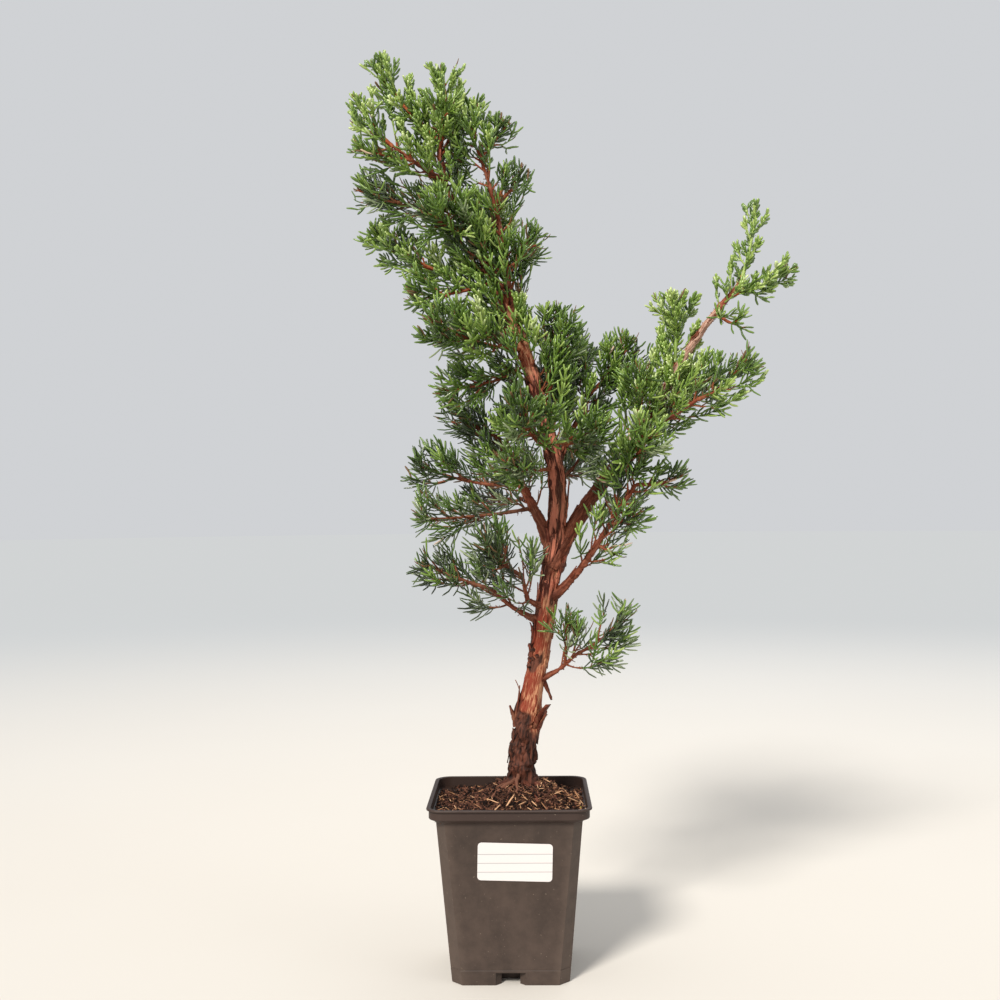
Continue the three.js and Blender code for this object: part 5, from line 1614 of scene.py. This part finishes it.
for kind, (count, lengths_of, width, thickness, tilt, tints_of, on_right) in LITTER.items():
    spots = dice.uniform(-LITTER_AREA["half"], LITTER_AREA["half"], (count * 2 + 20, 2))
    spots[:, 0] = np.abs(spots[:, 0]) * np.where(dice.random(len(spots)) < on_right, 1, -1)
    away = np.linalg.norm(spots - foot, axis=1)
    inside = (away > LITTER_AREA["from_trunk"]) & (np.abs(spots).sum(axis=1) < LITTER_AREA["corners"])
    spots = spots[inside][:count]
    size = dice.uniform(*lengths_of, len(spots)) / 2
    stretch = np.column_stack([size, size * width, size * thickness])
    turns, tilts = dice.uniform(0, math.tau, len(spots)), np.radians(dice.uniform(-tilt, tilt, len(spots)))
    along = np.column_stack([np.cos(turns) * np.cos(tilts), np.sin(turns) * np.cos(tilts), np.sin(tilts)])
    across = unit(np.cross(along, UP + dice.uniform(-0.5, 0.5, (len(spots), 3))))
    basis = np.stack([along, across, np.cross(along, across)], axis=1)
    jitter = dice.uniform(0.7, 1.2, (len(spots), len(LUMP_POINTS), 1))
    lumps = np.einsum("nvi,nij->nvj", LUMP_POINTS * jitter * stretch[:, None], basis)
    lift = np.abs(np.sin(tilts)) * size * (1.0 if kind == "straw" else 0.6) + size * thickness * 0.5
    ledge = lerp(LEDGE["low"], LEDGE["high"], (np.abs(spots).max(axis=1) - LEDGE["from"]) / LEDGE["wide"])
    seats = raised(spots, np.maximum(rough_ground(spots[:, 0], spots[:, 1]), ledge) + lift)
    points = (lumps + seats[:, None]).reshape(-1, 3)
    tints_here = np.repeat(dice.choice(tints_of, len(spots)), len(LUMP_FACES))
    litter_heap.add(points, repeated(LUMP_FACES, len(spots), len(LUMP_POINTS)), tints_here)
for bearing, reach, rise, radius in MOUND_ROOTS:
    share = np.linspace(0, 1, ROOT_RINGS)
    out = lerp(ROOT_START, reach, share)
    sway = np.radians(bearing + np.cumsum(dice.uniform(-2.5, 2.5, ROOT_RINGS)))
    spots = foot + np.column_stack([np.cos(sway), np.sin(sway)]) * out[:, None]
    course = raised(spots, ground(spots[:, 0], spots[:, 1]) + lerp(rise, -0.6, share**0.8))
    ways_on = unit(np.gradient(course, axis=0))
    radii = lerp(radius, radius * 0.5, share)
    litter_heap.add(*tubes(course[None], ways_on[None], radii[None], ROOT_SIDES), 2)
browns = []
for name, code in BROWNS.items():
    browns.append(Finish(name, Base_Color=colour(code), Roughness=0.9, Specular_IOR_Level=0.2))
litter_heap.piece("soil_litter", browns, "soil", smooth=False)

# %% [markdown]
# ## Pot
#
# The pot is pressed from thin black plastic, and dust has made it a warm grey-brown. Its body is a square
# with cut corners that widens upwards, with a skirt and a thin lip at the rim and a drain notch in the
# foot of each side. Rings of points, one for each change in its profile, give the body, and small steps
# between the rings round its edges. The notches are cut with Boolean modifiers.

# %% The pot's body
POT_RINGS = [  # height, half width, corner, rounding
    (0.0, 39.0, 7.0, 0), (0.5, 39.5, 7.2, 0), (9.9, 40.35, 7.1, 0), (10.3, 40.1, 7.1, 0),
    (10.7, 40.4, 7.1, 0), (109.6, 48.6, 6, 0), (110.2, 48.9, 6.2, 0.1), (112.6, 53.0, 9.8, 1),
    (113.2, 53.4, 10, 1), (117.9, 53.4, 10, 1), (118.3, 53.7, 10.2, 1), (118.6, 54.8, 10.9, 1),
    (119.2, 55.0, 11, 1), (119.8, 54.7, 10.9, 1), (120.0, 54.1, 10.7, 1),
]
POT_INSIDE = [
    (120.0, 52.9, 9.9, 1), (119.6, 52.2, 9.5, 1), (113.5, 51.9, 9.4, 1), (111.9, 47.5, 5.6, 0.1),
    (111.3, 47.2, 5.4, 0), (2.5, 38.0, 6.6, 0),
]
NOTCH = {"mouth": 20, "throat": 12.5, "flare": 4, "depth": 14, "height": 8.6, "overrun": 3, "face": 39.5}
POT_WALL = 1.5
SIDE_POINTS, CORNER_POINTS = 6, 9


def pot_body():
    """Points and faces of the pot, and for each face whether it lies on the inside."""
    rings = []
    for height, *plan in POT_RINGS + POT_INSIDE:
        rings.append(raised(square_ring(*plan, SIDE_POINTS, CORNER_POINTS), height))
    points, faces = stacked(rings, (0, 0, 0), (0, 0, POT_INSIDE[-1][0]))
    outside = (len(POT_RINGS) - 1) * 2 * len(rings[0])
    return points, faces, np.arange(len(faces)) >= outside


def notch_block(margin, low, quarter):
    """The room of one drain notch, made larger all round by a margin."""
    wide, narrow = NOTCH["mouth"] / 2 + margin, NOTCH["throat"] / 2 + margin
    face = -NOTCH["face"]
    mouth = face + 0.4 if margin else face - NOTCH["overrun"]
    half = [(wide, mouth), (wide, face + 0.5), (narrow, face + NOTCH["flare"])]
    half += [(narrow, face + NOTCH["depth"] + margin)]
    plan = [(-wide, mouth), *half, *[(-x, y) for x, y in half[:0:-1]]]
    turn = Matrix.Rotation(quarter * math.pi / 2, 2)
    flat = [turn @ Vector(point) for point in plan]
    count = len(flat)
    points = [(p.x, p.y, z) for z in (low, NOTCH["height"] + margin) for p in flat]
    faces = [list(range(count - 1, -1, -1)), list(range(count, 2 * count))]
    faces += [[k, (k + 1) % count, count + (k + 1) % count, count + k] for k in range(count)]
    mesh = bpy.data.meshes.new("notch_block")
    mesh.from_pydata([tuple(c * MM for c in point) for point in points], [], faces)
    return bpy.data.objects.new("notch_block", mesh)


print("the pot is built of", len(POT_RINGS + POT_INSIDE), "rings")

# %% The pot's plastic
plastic = Finish("dusty_plastic", Specular_IOR_Level=0.4)
spot = plastic.spot()
x, y, z = [plastic.along(axis) for axis in "XYZ"]
dust, stains = plastic.clouds(spot, 0.03, 4.0), plastic.clouds(spot, 0.008, 5.0, 0.7)
dots = plastic.clouds(spot, 0.0011, 1.0)
# The cut corners are painted lighter in patches: partly edge wear, partly a painted highlight.
chamfer_wear_and_highlight = (abs(x) + abs(y) - z * 0.177).between(0.0655, 0.0722)
dusty = plastic.mix((dust * 0.6 + stains * 0.45).between(0.3, 0.75), colour("342923"), colour("4b3d35"))
dusty = plastic.mix(chamfer_wear_and_highlight * stains, dusty, colour("54463d"))
dusty = plastic.mix(z.between(0.106, 0.1125) * 0.8, dusty, colour("301f18"))
plastic.set(Base_Color=plastic.mix(dots.between(0.75, 0.8) * stains * 0.8, dusty, colour("b7a48f")))
plastic.set(Roughness=0.5 + dust * 0.2)
plastic.bump(plastic.clouds(spot, 0.0006, 2.0), 0.12, 0.0003)
inner_plastic = Finish("dark_plastic", Base_Color=colour("2e1f18"), Roughness=0.55, Specular_IOR_Level=0.3)
points, faces, shares = pot_body()
pot = make_piece("pot_body", points, faces, [plastic, inner_plastic], "pot", ["pot"], shares, smooth=False)


# %% Cut the notches
def cut(piece, block, operation):
    """Adds a block to a piece, or takes it away, and keeps the result as plain mesh."""
    bpy.context.collection.objects.link(block)
    modifier = piece.modifiers.new(operation, "BOOLEAN")
    modifier.object, modifier.operation, modifier.solver = block, operation, "EXACT"
    view = bpy.context.evaluated_depsgraph_get()
    mesh = bpy.data.meshes.new_from_object(piece.evaluated_get(view))
    piece.modifiers.clear()
    piece.data = mesh
    bpy.data.objects.remove(block)


for quarter in range(4):
    cut(pot, notch_block(POT_WALL, 1.0, quarter), "UNION")
    cut(soil_bed, notch_block(POT_WALL + SEAT_GAP, 0.0, quarter), "DIFFERENCE")
for quarter in range(4):
    cut(pot, notch_block(0, -NOTCH["overrun"], quarter), "DIFFERENCE")
pot.data.shade_smooth()
pot.data.set_sharp_from_angle(angle=math.radians(32))
print("the pot has", len(pot.data.polygons), "faces after its notches are cut")

# %% [markdown]
# ## Label
#
# A nursery sticker with rounded corners sits on the front. It stays blank but for a few ruled lines to
# write on. The lines are thin, straight and evenly spaced, so bands worked out from the height draw them.

# %% Label
RULES = {"heights": (0.0775, 0.0835, 0.0895), "solid": 0.00018, "faded": 0.00032}
paper = Finish("label_paper", Roughness=0.55, Specular_IOR_Level=0.4)
height = paper.along("Z")
white = paper.mix(paper.clouds(paper.spot(), 0.01), colour("dad3d1"), colour("d8d1ce"))
lines = sum(abs(height - z).between(RULES["faded"], RULES["solid"]) for z in RULES["heights"])
paper.set(Base_Color=paper.mix(lines * 0.6, white, colour("787c80")))
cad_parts["label"].data.materials.clear()
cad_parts["label"].data.materials.append(paper.material)
